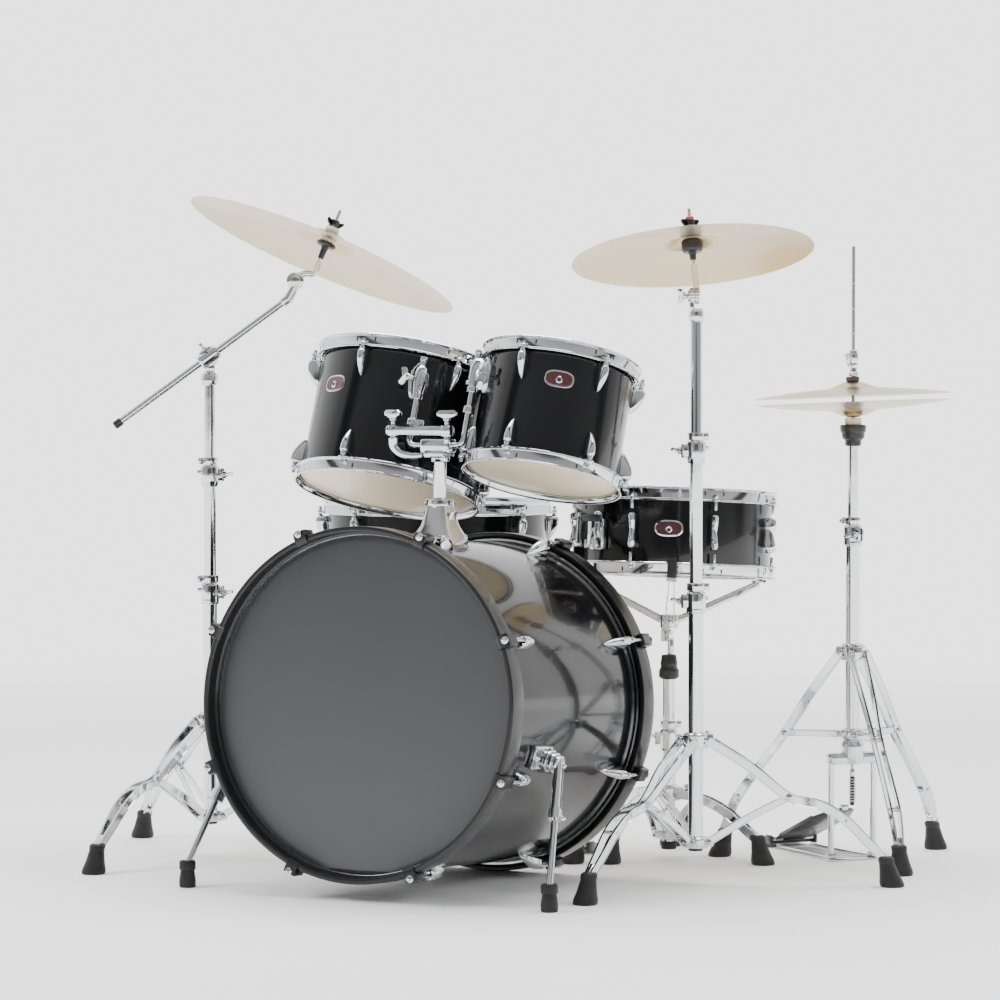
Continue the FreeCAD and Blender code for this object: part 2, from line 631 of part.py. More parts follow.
def tom_holder():
    x, y = number("post_x"), number("post_y")
    skirt = doc.addObject("Part::Wedge", "base_casting")
    low, high = "base_low", "collar_low"
    bind(skirt, Xmin="-base_width / 2", Xmax="base_width / 2", Zmin="-base_width / 2",
         Zmax="base_width / 2", Ymin=low, Ymax=high, X2min="-base_top_width / 2",
         X2max="base_top_width / 2", Z2min="-base_top_width / 2", Z2max="base_top_width / 2")
    skirt.Placement = Placement(Vector(x, y, 0), Rotation(Vector(1, 0, 0), 90))
    collar = cylinder("base_collar", 20.0, "collar_top - collar_low", ("post_x", "post_y", low_of(high)))
    drum = cylinder("base_saddle", "kick_radius + 0.05", "kick_depth")
    drum.Placement = kick_frame().multiply(Placement(Vector(0, 0, -number("kick_depth / 2")), Rotation()))
    bore = cylinder("base_bore", "post_hole", 260.0, ("post_x", "post_y", 500.0))
    screws = [cylinder(f"base_screw_{i}", 3.5, 12.0, (x + s * 19, y, "collar_low + 7"), (s, 0, 0))
              for i, s in enumerate((-1, 1))]
    casting = cut("tom_mount_casting", fused("base_whole", skirt, collar, *screws), drum, bore)
    sub_part("tom_mount_base", [casting], ("0", "0", "0"))
    holder_head(x, y)


def low_of(words):
    return words


def holder_head(x, y):
    """The post with its head block, which clamps both arms under a bar with two wing screws."""
    post = cylinder("post_tube", "post_radius", "post_top - post_bottom", ("post_x", "post_y", "post_bottom"))
    level = number("arm_level")
    block = box("holder_block", 58.0, 38.0, 34.0, (x, y - 7, level))
    front = box("holder_bar", 128.0, 18.0, 17.0, (x - 25, y - 25, level + 25.5))
    bores, arms = [], []
    for side, sign in (("mid", -1), ("high", 1)):
        top, bend = arm_line(side + "_tom")
        inner = Vector(x + sign * 8, bend.y, bend.z)
        bores.append(rod(f"{side}_arm_bore", tuple(inner - Vector(sign * 2, 0, 0)), tuple(bend), "arm_hole"))
        upright_leg = rod(f"{side}_arm_upright", tuple(bend), tuple(top), "arm_radius")
        level_leg = rod(f"{side}_arm_level", tuple(inner), tuple(bend), "arm_radius")
        elbow = doc.addObject("Part::Sphere", f"{side}_arm_elbow")
        bind(elbow, Radius="arm_radius")
        elbow.Placement.Base = bend
        sub_part(f"{side}_tom_arm", [fused(f"{side}_arm", upright_leg, level_leg, elbow)], ("0", "0", "0"))
    wings = [wing_bolt(f"holder_wing_{i}", (x - 25 + s * 52, y - 25, level + 34), (0, 0, 1), 10.0)
             for i, s in enumerate((-1, 1))]
    head = cut("holder_head", fused("holder_castings", block, front), *bores)
    sub_part("tom_post", [fused("post_and_head", post, head, *wings)], ("0", "0", "0"))


def rack_tom(name):
    base = (f"{name}_x", f"{name}_y", f"{name}_z")
    turn = upright("tom_lean_x", "tom_lean_y")
    drum_sub_parts(name, base, turn)
    side = name.split("_")[0]
    reach = number(f"{name}_radius + bracket_reach")
    body = new_body(name + "_bracket_block")
    pad(body, name + "_bracket_pad", [
        (f"{name}_radius", -17.0), (f"{name}_radius + bracket_reach + 2", -14.0),
        (f"{name}_radius + bracket_reach + 12", -7.0), (f"{name}_radius + bracket_reach + 12", 7.0),
        (f"{name}_radius + bracket_reach + 2", 14.0), (f"{name}_radius", 17.0),
    ], "bracket_height - 28", 56.0)
    drill(body, name + "_bracket_bore", f"{name}_radius + bracket_reach", "arm_hole",
          "bracket_height + 30", 60.0)
    bolt = wing_bolt(name + "_bracket_wing", (reach, -14 if side == "mid" else 14, "bracket_height"),
                     (0, -1 if side == "mid" else 1, 0), 8.0)
    rod_space = cylinder(name + "_rod_space", "arm_hole", 60.0, (reach, 0, "bracket_height - 30"))
    whole = cut(name + "_bracket_whole", fused(name + "_bracket_all", body, bolt), rod_space)
    sub_part(name + "_bracket", [whole], base, turn.multiply(about_z(f"{side}_bracket_turn")))


# ---- floor tom --------------------------------------------------------------------------

LEG_TURNS = (52.5, 187.5, 322.5)


def floor_tom():
    base = ("floor_tom_x", "floor_tom_y", "floor_tom_z")
    drum_sub_parts("floor_tom", base, Rotation())
    brackets, legs = [], []
    reach = "floor_tom_radius + leg_offset"
    for i, angle in enumerate(LEG_TURNS):
        turn = about_z(angle)
        body = new_body(f"leg_bracket_{i}")
        pad(body, f"leg_bracket_pad_{i}", [
            ("floor_tom_radius", -17.0), (f"{reach} + 12", -11.0), (f"{reach} + 12", 11.0),
            ("floor_tom_radius", 17.0)], -30.0, 60.0)
        drill(body, f"leg_bracket_bore_{i}", reach, "leg_radius + 0.3", 31.0, 62.0)
        body.Placement = Placement(Vector(), turn)
        brackets.append(body)
        knee, low = 110.0, "bell_height - 6"
        straight = rod(f"floor_leg_upper_{i}", (reach, 0, knee), (reach, 0, "leg_top"), "leg_radius")
        splay = rod(f"floor_leg_lower_{i}", (reach, 0, knee), (f"{reach} + leg_kick_out", 0, low), "leg_radius")
        ball = doc.addObject("Part::Sphere", f"floor_leg_knee_{i}")
        bind(ball, Radius="leg_radius")
        ball.Placement.Base = point(reach, 0, knee)
        leg = fused(f"floor_leg_{i}", straight, splay, ball)
        foot_space = cylinder(f"floor_leg_foot_space_{i}", "bell_bottom", "bell_height",
                              (f"{reach} + leg_kick_out", 0, 0))
        leg = cut(f"floor_leg_cut_{i}", leg, foot_space)
        leg.Placement = Placement(Vector(), turn)
        legs.append(leg)
        spot = turn.multVec(point(f"{reach} + leg_kick_out", 0, 0)) + point("floor_tom_x", "floor_tom_y", 0)
        FEET.append((spot.x, spot.y))
    sub_part("floor_tom_leg_brackets", brackets, base)
    sub_part("floor_tom_legs", legs, ("floor_tom_x", "floor_tom_y", "0"))


# ---- stands -----------------------------------------------------------------------------

FEET = []


def tripod(name, at, turn, upper_z, lower_z, foot_radius, profile, brace):
    """Hubs, three legs of two strips each, and three braces, about the main tube."""
    pieces = [ring(name + "_upper_hub", "base_tube + 0.1", 25.0, f"{upper_z} - 12", f"{upper_z} + 12"),
              ring(name + "_lower_hub", "base_tube + 0.1", 24.0, f"{lower_z} - 9", f"{lower_z} + 9")]
    inner, outer = brace
    for i in range(3):
        spin = about_z(number(turn) + 120 * i)
        for side in (-1, 1):
            gap = f"{side} * strip_gap"
            strips = [bar(f"{name}_strip_{i}_{side}_{k}", (a, gap, b), (c, gap, d), "strip_width", "strip_metal")
                      for k, ((a, b), (c, d)) in enumerate(zip(profile, profile[1:]))]
            rivets = [cylinder(f"{name}_bend_{i}_{side}_{k}", "strip_width / 2", "strip_metal",
                               (a, f"{gap} - strip_metal / 2", b), (0, 1, 0))
                      for k, (a, b) in enumerate(profile[1:-1])]
            leg = fused(f"{name}_leg_{i}_{side}", *strips, *rivets)
            leg.Placement = Placement(Vector(), spin)
            pieces.append(leg)
        stay = bar(f"{name}_stay_{i}", (inner[0], 0, inner[1]), (outer[0], 0, outer[1]), 12.0, "strip_metal")
        pin = cylinder(f"{name}_pin_{i}", 3.5, "strip_gap * 2 - strip_metal",
                       (outer[0], "-strip_gap + strip_metal / 2", outer[1]), (0, 1, 0))
        joined = fused(f"{name}_brace_{i}", stay, pin)
        joined.Placement = Placement(Vector(), spin)
        pieces.append(joined)
        unit = Placement(point(*at), Rotation()).multiply(Placement(Vector(), at_turn(name, i, turn)))
        spot = unit.multVec(point(foot_radius, 0, 0))
        FEET.append((spot.x, spot.y))
    return pieces


UNIT_TURNS = {"boom_stand": "boom_turn", "straight_stand": "straight_turn", "hat_stand": "hat_turn",
              "snare_stand": "0"}


def at_turn(name, i, turn):
    return about_z(number(UNIT_TURNS[name]) + number(turn) + 120 * i)


LEG_PROFILE = [(22.0, "upper_hub_z"), ("leg_mid_radius", "leg_mid_z"), ("leg_knee_radius", "leg_knee_z"),
               ("leg_end_radius", "leg_end_z")]


def clamp(name, tube, top, along):
    """A collar at the top of a tube, with its wing bolt."""
    collar = ring(name + "_collar", f"{tube} + 0.05", "clamp_radius", f"{top} - clamp_height", top)
    spot = point(*along) * number("clamp_radius - 1")
    spot.z = number(f"{top} - clamp_height / 2")
    return fused(name, collar, wing_bolt(name + "_wing", tuple(spot), along))


def tall_stand(name, prefix, base, along):
    """Tripod, lower tube and middle tube of a cymbal stand."""
    turn = about_z(f"{prefix}_turn")
    x, y, z = base
    first, second = f"{prefix}_joint_1", f"{prefix}_joint_2"
    low = ring(f"{name}_lower_tube", "base_bore", "base_tube", "lower_hub_z - 9", first)
    legs = tripod(name, base, f"{prefix}_tripod_turn", "upper_hub_z", "lower_hub_z", "foot_radius",
                  LEG_PROFILE, ((22.0, "lower_hub_z"), ("leg_mid_radius", "leg_mid_z")))
    sub_part(name + "_base", [low, clamp(name + "_clamp_1", "base_tube", first, along), *legs], base, turn)
    middle = ring(f"{name}_tube", "middle_bore", "middle_tube", f"{first} - 150", second)
    sub_part(name + "_middle_tube", [middle, clamp(name + "_clamp_2", "middle_tube", second, along)], base, turn)
    return turn


def cymbal(label, radius, height, bell, base, turn, side=1):
    """A cymbal about its rim plane's centre, with its bell up, or down when side is -1."""
    r, top, edge, b, t = radius, height, f"{height} * 0.56", bell, "cymbal_metal"
    under = [(r, "0"), (f"{r} * 0.72", f"({edge}) * 0.42"), (b, edge), (f"{b} * 0.82", f"{top} * 0.80 - {t}"),
             (f"{b} * 0.5", f"{top} * 0.97 - {t}"), (15.0, f"{top} - {t}"), ("cymbal_hole", f"{top} - {t}")]
    over = [("cymbal_hole", top), (15.0, top), (f"{b} * 0.5", f"{top} * 0.97"), (f"{b} * 0.86", f"{top} * 0.80"),
            (f"{b} + 1", f"{edge} + {t}"), (f"{r} * 0.72", f"({edge}) * 0.42 + {t}"), (r, f"{t} * 0.7")]
    outline = [(x, f"{side} * ({y})") for x, y in under + over]
    sub_part(label, [turned(label + "_disc", outline)], base, turn)


def cymbal_fittings(name, height, seat, seat_depth, frame):
    """Rod, sleeve, seat, felts and wing nut about the cymbal's rim plane centre."""
    top = number(height)
    metal = number("cymbal_metal")
    shaft = cylinder(name + "_shaft", "cymbal_rod", f"{height} + 42", (0, 0, -18.0))
    pieces = [
        shaft,
        ring(name + "_sleeve", "cymbal_rod + 0.05", 5.4, -7.0, seat - seat_depth),
        ring(name + "_seat", "cymbal_rod + 0.05", "seat_radius", seat - seat_depth, seat),
        ring(name + "_lower_felt", "cymbal_rod + 0.05", "felt_radius", seat, top - metal - 0.4),
        ring(name + "_upper_felt", "cymbal_rod + 0.05", "felt_radius", top + 0.4, top + 8.0),
        fused(name + "_nut", ring(name + "_nut_ring", "cymbal_rod + 0.05", 9.0, top + 8.0, top + 20.0),
              cut(name + "_nut_wings", box(name + "_nut_blade", 34.0, 6.0, 9.0, (0, 0, top + 15)),
                  cylinder(name + "_nut_space", "cymbal_rod + 0.05", 30.0, (0, 0, top)))),
    ]
    for piece in pieces:
        piece.Placement = frame.multiply(piece.Placement)
    return pieces


def boom_stand():
    base = ("boom_x", "boom_y", "0")
    turn = tall_stand("boom_stand", "boom", base, (1, 0, 0))
    pivot = "boom_pivot_z"
    second = "boom_joint_2"
    tube = cylinder("boom_upper_pipe", "upper_tube", f"{pivot} - 36 - ({second} - 150)", (0, 0, f"{second} - 150"))
    collar = cylinder("boom_head_collar", 15.0, 20.0, (0, 0, f"{pivot} - 52"))
    neck = box("boom_head_neck", 18.0, 10.0, 34.0, (0, 8.0, f"{pivot} - 20"))
    disc = cylinder("boom_head_disc", 17.0, 10.0, (0, 3.0, pivot), (0, 1, 0))
    nut = wing_bolt("boom_head_wing", (0, 12.5, pivot), (0, 1, 0), 8.0)
    sub_part("boom_upper_tube", [fused("boom_upper", tube, collar, neck, disc, nut)], base, turn)

    slope = math.radians(number("boom_arm_slope"))
    along = Vector(math.cos(slope), 0, math.sin(slope))
    centre = Vector(0, number("boom_arm_side"), number(pivot))
    disc = cylinder("boom_tilter_disc", 17.0, 6.0, (0, -3.4, pivot), (0, 1, 0))
    sleeve = cylinder("boom_tilter_sleeve", 13.0, 40.0, tuple(centre - along * 20), tuple(along))
    lock = wing_bolt("boom_tilter_lock", tuple(centre + Vector(-along.z, 0, along.x) * 11),
                     (-along.z, 0, along.x), 8.0)
    bore = cylinder("boom_tilter_bore", "boom_arm_bore", 60.0, tuple(centre - along * 30), tuple(along))
    sub_part("boom_tilter", [cut("boom_tilter_block", fused("boom_tilter_all", disc, sleeve, lock), bore)],
             base, turn)

    hinge = Vector(number("ride_pivot_x"), number("boom_arm_side"), number("ride_pivot_z"))
    rear, front = (centre + along * number(f"boom_arm_{end}") for end in ("rear", "front"))
    pipe = rod("boom_arm_pipe", tuple(rear), tuple(front), "boom_arm_radius")
    cap = rod("boom_arm_cap", tuple(rear - along * 6), tuple(rear + along * 10), "boom_arm_radius + 1.2")
    neck = rod("boom_arm_neck", tuple(front - Vector(0, 6.8, 0)), tuple(hinge - Vector(0, 7.5, 8)), 6.5)
    eye = cylinder("boom_arm_eye", 16.0, 8.0, tuple(hinge - Vector(0, 8.4, 0)), (0, 1, 0))
    sub_part("boom_arm", [fused("boom_arm_all", pipe, cap, neck, eye)], base, turn)

    frame = ride_frame()
    inverse_hinge = hinge
    foot = frame.multVec(Vector(0, 0, -16))
    disc = cylinder("ride_tilter_disc", 16.0, 8.0, tuple(inverse_hinge), (0, 1, 0))
    stem = rod("ride_tilter_whole_stem", tuple(hinge + Vector(4, 6.5, 6)), tuple(foot), 5.0)
    space = cylinder("ride_tilter_space", 16.5, 9.0, tuple(hinge - Vector(0, 9.1, 0)), (0, 1, 0))
    stem = cut("ride_tilter_stem", stem, space)
    screw = wing_bolt("ride_tilter_wing", tuple(hinge + Vector(0, 7.5, 0)), (0, 1, 0), 6.0)
    arm = fused("ride_tilter_arm", disc, stem, screw)
    fittings = cymbal_fittings("ride", "ride_height", 25.0, 9.0, frame)
    arm = fused("ride_tilter_steel", arm, fittings[0])
    sub_part("ride_tilter", [arm, *fittings[1:]], base, turn)
    spot = Placement(point(*base), turn).multiply(frame)
    cymbal("ride_cymbal", "ride_radius", "ride_height", "ride_bell",
           tuple(str(v) for v in spot.Base), spot.Rotation)


def ride_frame():
    """The ride's rim plane in the boom stand's frame: offset from its hinge along its own axes."""
    turn = upright("ride_lean_x", "ride_lean_y")
    hinge = Vector(number("ride_pivot_x"), number("boom_arm_side"), number("ride_pivot_z"))
    top = turn.multVec(Vector(0, 0, 1))
    side = (Vector(1, 0, 0) - top * top.x).normalize()
    return Placement(hinge + side * number("ride_offset") + top * number("ride_rise"), turn)


def straight_stand():
    base = ("straight_x", "straight_y", "0")
    turn = tall_stand("straight_stand", "straight", base, (-1, 0, 0))
    pivot, second = "crash_pivot_z", "straight_joint_2"
    tube = cylinder("straight_pipe", "upper_tube", f"{pivot} - 22 - ({second} - 150)", (0, 0, f"{second} - 150"))
    neck = box("straight_head_neck", 9.0, 16.0, 30.0, (-7.5, 0, f"{pivot} - 20"))
    disc = cylinder("straight_head_disc", 14.0, 9.0, (-12.0, 0, pivot), (1, 0, 0))
    nut = wing_bolt("straight_head_wing", (-11.5, 0, pivot), (-1, 0, 0), 12.0)
    sub_part("straight_upper_tube", [fused("straight_upper", tube, neck, disc, nut)], base, turn)

    lean = upright("crash_lean_x", "crash_lean_y")
    top = lean.multVec(Vector(0, 0, 1))
    frame = Placement(Vector(0, 0, number(pivot)) + top * number("crash_rise"), lean)
    disc = cylinder("crash_tilter_disc", 14.0, 8.0, (-2.6, 0, pivot), (1, 0, 0))
    stem = rod("crash_tilter_whole_stem", tuple(Vector(2.8, 0, number(pivot)) + top * 6),
               tuple(frame.multVec(Vector(0, 0, -17))), 5.0)
    space = cylinder("crash_tilter_space", 14.5, 10.0, (-12.7, 0, pivot), (1, 0, 0))
    stem = cut("crash_tilter_stem", stem, space)
    fittings = cymbal_fittings("crash", "crash_height", 29.0, 22.0, frame)
    arm = fused("crash_tilter_steel", disc, stem, fittings[0])
    sub_part("crash_tilter", [arm, *fittings[1:]], base, turn)
    spot = Placement(point(*base), turn).multiply(frame)
    cymbal("crash_cymbal", "crash_radius", "crash_height", "crash_bell",
           tuple(str(v) for v in spot.Base), spot.Rotation)


# ---- snare drum and its stand -------------------------------------------------------------

def snare():
    base = ("snare_x", "snare_y", "snare_z")
    turn = upright(0, "snare_lean")
    drum_sub_parts("snare", base, turn, None, None)
    e, r = "snare_depth / 2", "snare_radius"
    wires = box("snare_wire_band", 330.0, 42.0, 1.4, (0, 0, f"-({e}) - 2.2"))
    sub_part("snare_wires", [wires], base, turn.multiply(about_z("throw_off_turn")))
    throw = about_z("throw_off_turn")
    housing = box("throw_off_housing", 16.0, 34.0, 58.0, (f"{r} + 8.5", 0, -8.0))
    ears = [box(f"throw_off_ear_{i}", 14.0, 4.0, 16.0, (f"{r} + 22", s * 13, -26.0)) for i, s in enumerate((-1, 1))]
    butt = box("snare_butt_plate", 12.0, 36.0, 40.0, (f"-({r}) - 6.5", 0, -12.0))
    holes = cylinder("throw_off_bore", 2.6, 60.0, (f"{r} + 24", -30.0, -26.0), (0, 1, 0))
    body = cut("throw_off_body", fused("throw_off_all", housing, *ears), holes)
    sub_part("snare_strainer", [body, butt], base, turn.multiply(throw))
    barrel = cylinder("lever_barrel", 2.3, 32.0, (f"{r} + 24", -16.0, -26.0), (0, 1, 0))
    arm = box("lever_arm", 5.0, 20.0, 44.0, (f"{r} + 24", 0, -6.0))
    grip = box("lever_grip", 6.0, 46.0, 14.0, (f"{r} + 26", 0, 20.0))
    sub_part("snare_lever", [fused("snare_lever_all", barrel, arm, grip)], base, turn.multiply(throw))
    basket(base, turn)


def basket(base, turn):
    """Hub and three arms under the snare drum, in the drum's frame, with grips on its hoop."""
    drop = number("snare_z - basket_pivot_z") / math.cos(math.asin(number("snare_lean")))
    hub_low = -drop + 12.5
    hub = cylinder("basket_hub", 17.0, 26.0, (0, 0, hub_low))
    fork = box("basket_fork", 9.0, 20.0, 27.0, (-8.0, 0, -drop + 1.5))
    below = number("-(snare_depth / 2) - hoop_rise") - 0.4
    rim = number("snare_radius + hoop_flange") + 0.5
    pieces = [fused("basket_centre", hub, fork)]
    for i in range(3):
        spin = about_z(number("basket_turn") + 120 * i)
        arm = bar(f"basket_arm_{i}", (12.0, 0, hub_low + 14), (rim - 6, 0, below - 7), 11.0, 5.0)
        shelf = box(f"basket_shelf_{i}", 22.0, 18.0, 5.0, (rim - 5, 0, below - 2.5))
        grip = box(f"basket_grip_{i}", 7.0, 18.0, 40.0, (rim + 3.6, 0, below + 15))
        whole = fused(f"basket_arm_all_{i}", arm, shelf, grip)
        whole.Placement = Placement(Vector(), spin)
        pieces.append(whole)
    sub_part("snare_basket", [fused("snare_basket_all", *pieces)], base, turn)


def snare_stand():
    base = ("snare_stand_x", "snare_stand_y", "0")
    pivot = number("basket_pivot_z")
    low = ring("snare_lower_tube", "base_bore", "base_tube", 30.0, 232.0)
    cap = cylinder("snare_tube_cap", 14.0, 14.0, (0, 0, 16.0))
    legs = tripod("snare_stand", base, "snare_tripod_turn", "118", "45", "snare_leg_radius",
                  [(20.0, "118"), (62.0, "112"), (140.0, "76"), (180.0, "46")], ((20.0, "45"), (62.0, "112")))
    sub_part("snare_stand_base", [low, cap, clamp("snare_clamp", "base_tube", "232", (-1, 0, 0)), *legs], base)
    tube = cylinder("snare_upper_pipe", "middle_tube", pivot - 60 - 90, (0, 0, 90.0))
    bell = turned("snare_basket_nut", [
        ("0", pivot - 78), (18.0, pivot - 78), (13.0, pivot - 34), ("0", pivot - 34)])
    post = cylinder("snare_pivot_post", 6.0, 30.0, (3.5, 0, pivot - 36))
    eye = cylinder("snare_pivot_eye", 11.0, 8.0, (-3.0, 0, pivot), (1, 0, 0))
    sub_part("snare_stand_tube", [fused("snare_upper", tube, bell, post, eye)], base)


# ---- hi-hat and foot pedals ---------------------------------------------------------------

def footboard(name, heel_x, toe_x, toe_z):
    """A footboard about the unit's frame: its hinge barrel at the heel, its toe raised."""
    start, end = (heel_x, 0, "heel_z"), (toe_x, 0, toe_z)
    a, b = point(*start), point(*end)
    along = (b - a).normalize()
    turn = Rotation(along, Vector(0, -1, 0), Vector(), "XYZ")
    board = doc.addObject("Part::Box", name + "_board")
    bind(board, Length=f"sqrt(({heel_x} - {toe_x})^2 + ({toe_z} - heel_z)^2)", Width="board_width",
         Height="board_metal")
    corner = turn.multVec(Vector(0, number("board_width") / 2, number("board_metal") / 2))
    board.Placement = Placement(a - corner, turn)
    barrel = cylinder(name + "_barrel", 4.5, "board_width", (heel_x, "-board_width / 2", "heel_z"), (0, 1, 0))
    return fused(name + "_all", board, barrel)


def heel_plate(name, heel_x):
    """The fixed heel plate with the ears that carry the footboard's hinge pin."""
    plate = box(name + "_heel", "heel_length", "board_width + 16", 6.0,
                (f"{heel_x} + 8 + heel_length / 2", 0, "heel_z - 8"))
    ears = [box(f"{name}_ear_{i}", 24.0, 6.0, 20.0, (f"{heel_x} + 6", f"{s} * (board_width / 2 + 4.5)", "heel_z - 4"))
            for i, s in enumerate((-1, 1))]
    return fused(name + "_heel_all", plate, *ears)


def hi_hat():
    base, turn = ("hat_x", "hat_y", "0"), about_z("hat_turn")
    side, casting, top = "hat_frame_side", "hat_casting_z", "hat_joint_z"
    tube = ring("hat_lower_tube", "middle_bore", "base_tube", f"{casting} + 30", top)
    block = cut("hat_casting", fused("hat_casting_all",
                cylinder("hat_casting_neck", 21.0, 44.0, (0, 0, casting)),
                box("hat_casting_yoke", 26.0, f"{side} * 2 + 14", 22.0, (0, 0, f"{casting} + 11"))),
                cylinder("hat_casting_bore", "base_tube + 0.05", 60.0, (0, 0, f"{casting} + 30")),
                cylinder("hat_chain_bore", "middle_bore", 60.0, (0, 0, f"{casting} - 1")))
    rods = [cylinder(f"hat_frame_rod_{i}", 6.0, f"{casting} - 4", (0, f"{s} * {side}", 4.0))
            for i, s in enumerate((-1, 1))]
    plate = box("hat_base_plate", 30.0, f"{side} * 2 + 16", 4.0, (0, 0, 2.0))
    rails = [box(f"hat_rail_{i}", "hat_heel_x - 10", 8.0, 5.0, ("hat_heel_x / 2 + 4", f"{s} * 34", 4.5))
             for i, s in enumerate((-1, 1))]
    legs = tripod("hat_stand", base, "hat_tripod_turn", "hat_upper_hub_z", "hat_ring_z", "hat_leg_radius",
                  [(22.0, "hat_upper_hub_z"), (122.0, "hat_ring_z"), (212.0, "102"), ("hat_leg_radius - 10", "52")],
                  ((22.0, "hat_ring_z"), (122.0, "hat_ring_z")))
    frame = fused("hat_floor_frame", plate, *rails, heel_plate("hat", "hat_heel_x"))
    pieces = [tube, clamp("hat_clamp", "base_tube", top, (-1, 0, 0)), block, frame, *rods, *legs]
    sub_part("hihat_base", pieces, base, turn)
    board = footboard("hat_pedal", "hat_heel_x", "hat_toe_x", "hat_toe_z")
    sub_part("hihat_footboard", [board], base, turn)
    hat_cymbals(base, turn)


def hat_cymbals(base, turn):
    casting, cup, top = "hat_casting_z", "hat_cup_z", "hat_joint_z"
    pipe = ring("hat_upper_pipe", 4.6, "upper_tube", f"{top} - 150", f"{cup} - 38")
    seat = turned("hat_seat_cup", [(4.6, f"{cup} - 38"), (14.0, f"{cup} - 38"), (23.0, cup), (4.6, cup)])
    felt = ring("hat_seat_felt", 4.6, 15.0, cup, "hat_bottom_z - hat_height - 1.2")
    sub_part("hihat_upper_tube", [pipe, seat, felt], base, turn)

    lean = upright("hat_lean_x", "hat_lean_y")
    high = Placement(point(0, 0, "hat_top_z"), lean)
    bell = number("hat_height")
    shaft = cylinder("hat_rod", "hat_rod_radius", "hat_rod_top - 140", (0, 0, 140.0))
    chain = cylinder("hat_chain", 7.0, "140 - hat_toe_z - 8", (0, 0, "hat_toe_z + 8"))
    nut = ring("hat_clutch_nut", "hat_rod_radius", 8.0, bell - 16, bell - 10)
    low_felt = ring("hat_low_felt", "hat_rod_radius", 12.0, bell - 10, bell - 1.6)
    top_felt = ring("hat_top_felt", "hat_rod_radius", 12.0, bell + 0.2, bell + 9)
    for piece in (nut, low_felt, top_felt):
        piece.Placement = high
    clutch = fused("hat_clutch", ring("hat_clutch_body", "hat_rod_radius", 9.0, 868.0, 912.0),
                   wing_bolt("hat_clutch_wing", (8.0, 0, 895.0), (1, 0, 0), 8.0))
    sub_part("hihat_rod_and_clutch", [fused("hat_rod_all", shaft, chain), nut, low_felt, top_felt, clutch], base, turn)
    for label, level, side in (("hihat_top_cymbal", "hat_top_z", 1), ("hihat_bottom_cymbal", "hat_bottom_z", -1)):
        cymbal(label, "hat_radius", "hat_height", "hat_bell", (base[0], base[1], level), turn.multiply(lean), side)


def kick_pedal():
    base, turn = ("pedal_x", "pedal_y", "0"), about_z("pedal_turn")
    posts = [box(f"pedal_post_{i}", 16.0, 8.0, "axle_z + 8", (0, s * 50, "axle_z / 2 + 4")) for i, s in enumerate((-1, 1))]
    plate = box("pedal_plate", "pedal_heel_x + 36", 60.0, 4.0, ("pedal_heel_x / 2 - 8", 0, 2.0))
    beam = box("pedal_beam", 20.0, 108.0, 8.0, (0, 0, 8.0))
    jaw = box("pedal_hoop_jaw", 30.0, 40.0, 8.0, (-50.0, 0, 17.0))
    stem = box("pedal_jaw_stem", 8.0, 40.0, 17.0, (-31.0, 0, 12.5))
    neck = box("pedal_jaw_neck", 28.0, 30.0, 6.0, (-18.0, 0, 7.0))
    bores = cylinder("pedal_axle_bore", "axle_radius + 0.3", 140.0, (0, -70.0, "axle_z"), (0, 1, 0))
    frame = fused("pedal_frame_all", *posts, plate, beam, jaw, stem, neck, heel_plate("pedal", "pedal_heel_x"))
    sub_part("pedal_frame", [cut("pedal_frame_cut", frame, bores)], base, turn)
    board = footboard("pedal", "pedal_heel_x", "pedal_toe_x + 12", "pedal_toe_z")
    sub_part("pedal_footboard", [board], base, turn)
    axle = cylinder("pedal_axle", "axle_radius", 116.0, (0, -58.0, "axle_z"), (0, 1, 0))
    rest = math.radians(number("beater_rest"))
    length = number("beater_length")
    axis = Vector(math.sin(rest), 0, math.cos(rest))
    pivot = Vector(0, 0, number("axle_z"))
    stick = rod("beater_rod", tuple(pivot - axis * 22), tuple(pivot + axis * length), 4.0)
    hub = cylinder("beater_hub", 13.0, 22.0, (0, -11.0, "axle_z"), (0, 1, 0))
    flat = Vector(math.cos(rest), 0, -math.sin(rest))
    felt = cylinder("beater_felt", 24.0, 34.0, tuple(pivot + axis * length - flat * 17), tuple(flat))
    sub_part("pedal_beater", [fused("beater_all", axle, stick, hub, felt)], base, turn)


def rubber_feet():
    feet = [bell_foot(f"rubber_foot_{i}", x, y) for i, (x, y) in enumerate(FEET)]
    sub_part("rubber_feet", feet, ("0", "0", "0"))


# ---- build, check and write ---------------------------------------------------------------

def check():
    doc.recompute()
    faults = [o.Name for o in doc.Objects if "Invalid" in o.State or "Error" in o.State]
    for item in SUB_PARTS:
        if item.Shape.isNull() or not item.Shape.isValid() or not item.Shape.Solids:
            faults.append(item.Label)
    if faults:
        raise SystemExit("faulty: " + ", ".join(faults))


def write():
    os.makedirs("parts", exist_ok=True)
    box_of_all = FreeCAD.BoundBox()
    for item in SUB_PARTS:
        box_of_all.add(item.Shape.BoundBox)
        item.Shape.exportStep(f"parts/{item.Label}.step")
    print(len(SUB_PARTS), "sub-parts in", box_of_all)


fill_sheet()
kick_drum()
spurs()
tom_holder()
for tom in ("high_tom", "mid_tom"):
    rack_tom(tom)
floor_tom()
snare()
snare_stand()
boom_stand()
straight_stand()
hi_hat()
kick_pedal()
rubber_feet()
check()
write()
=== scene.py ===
import math

import bmesh
import bpy
import numpy as np
from mathutils import Matrix, Vector


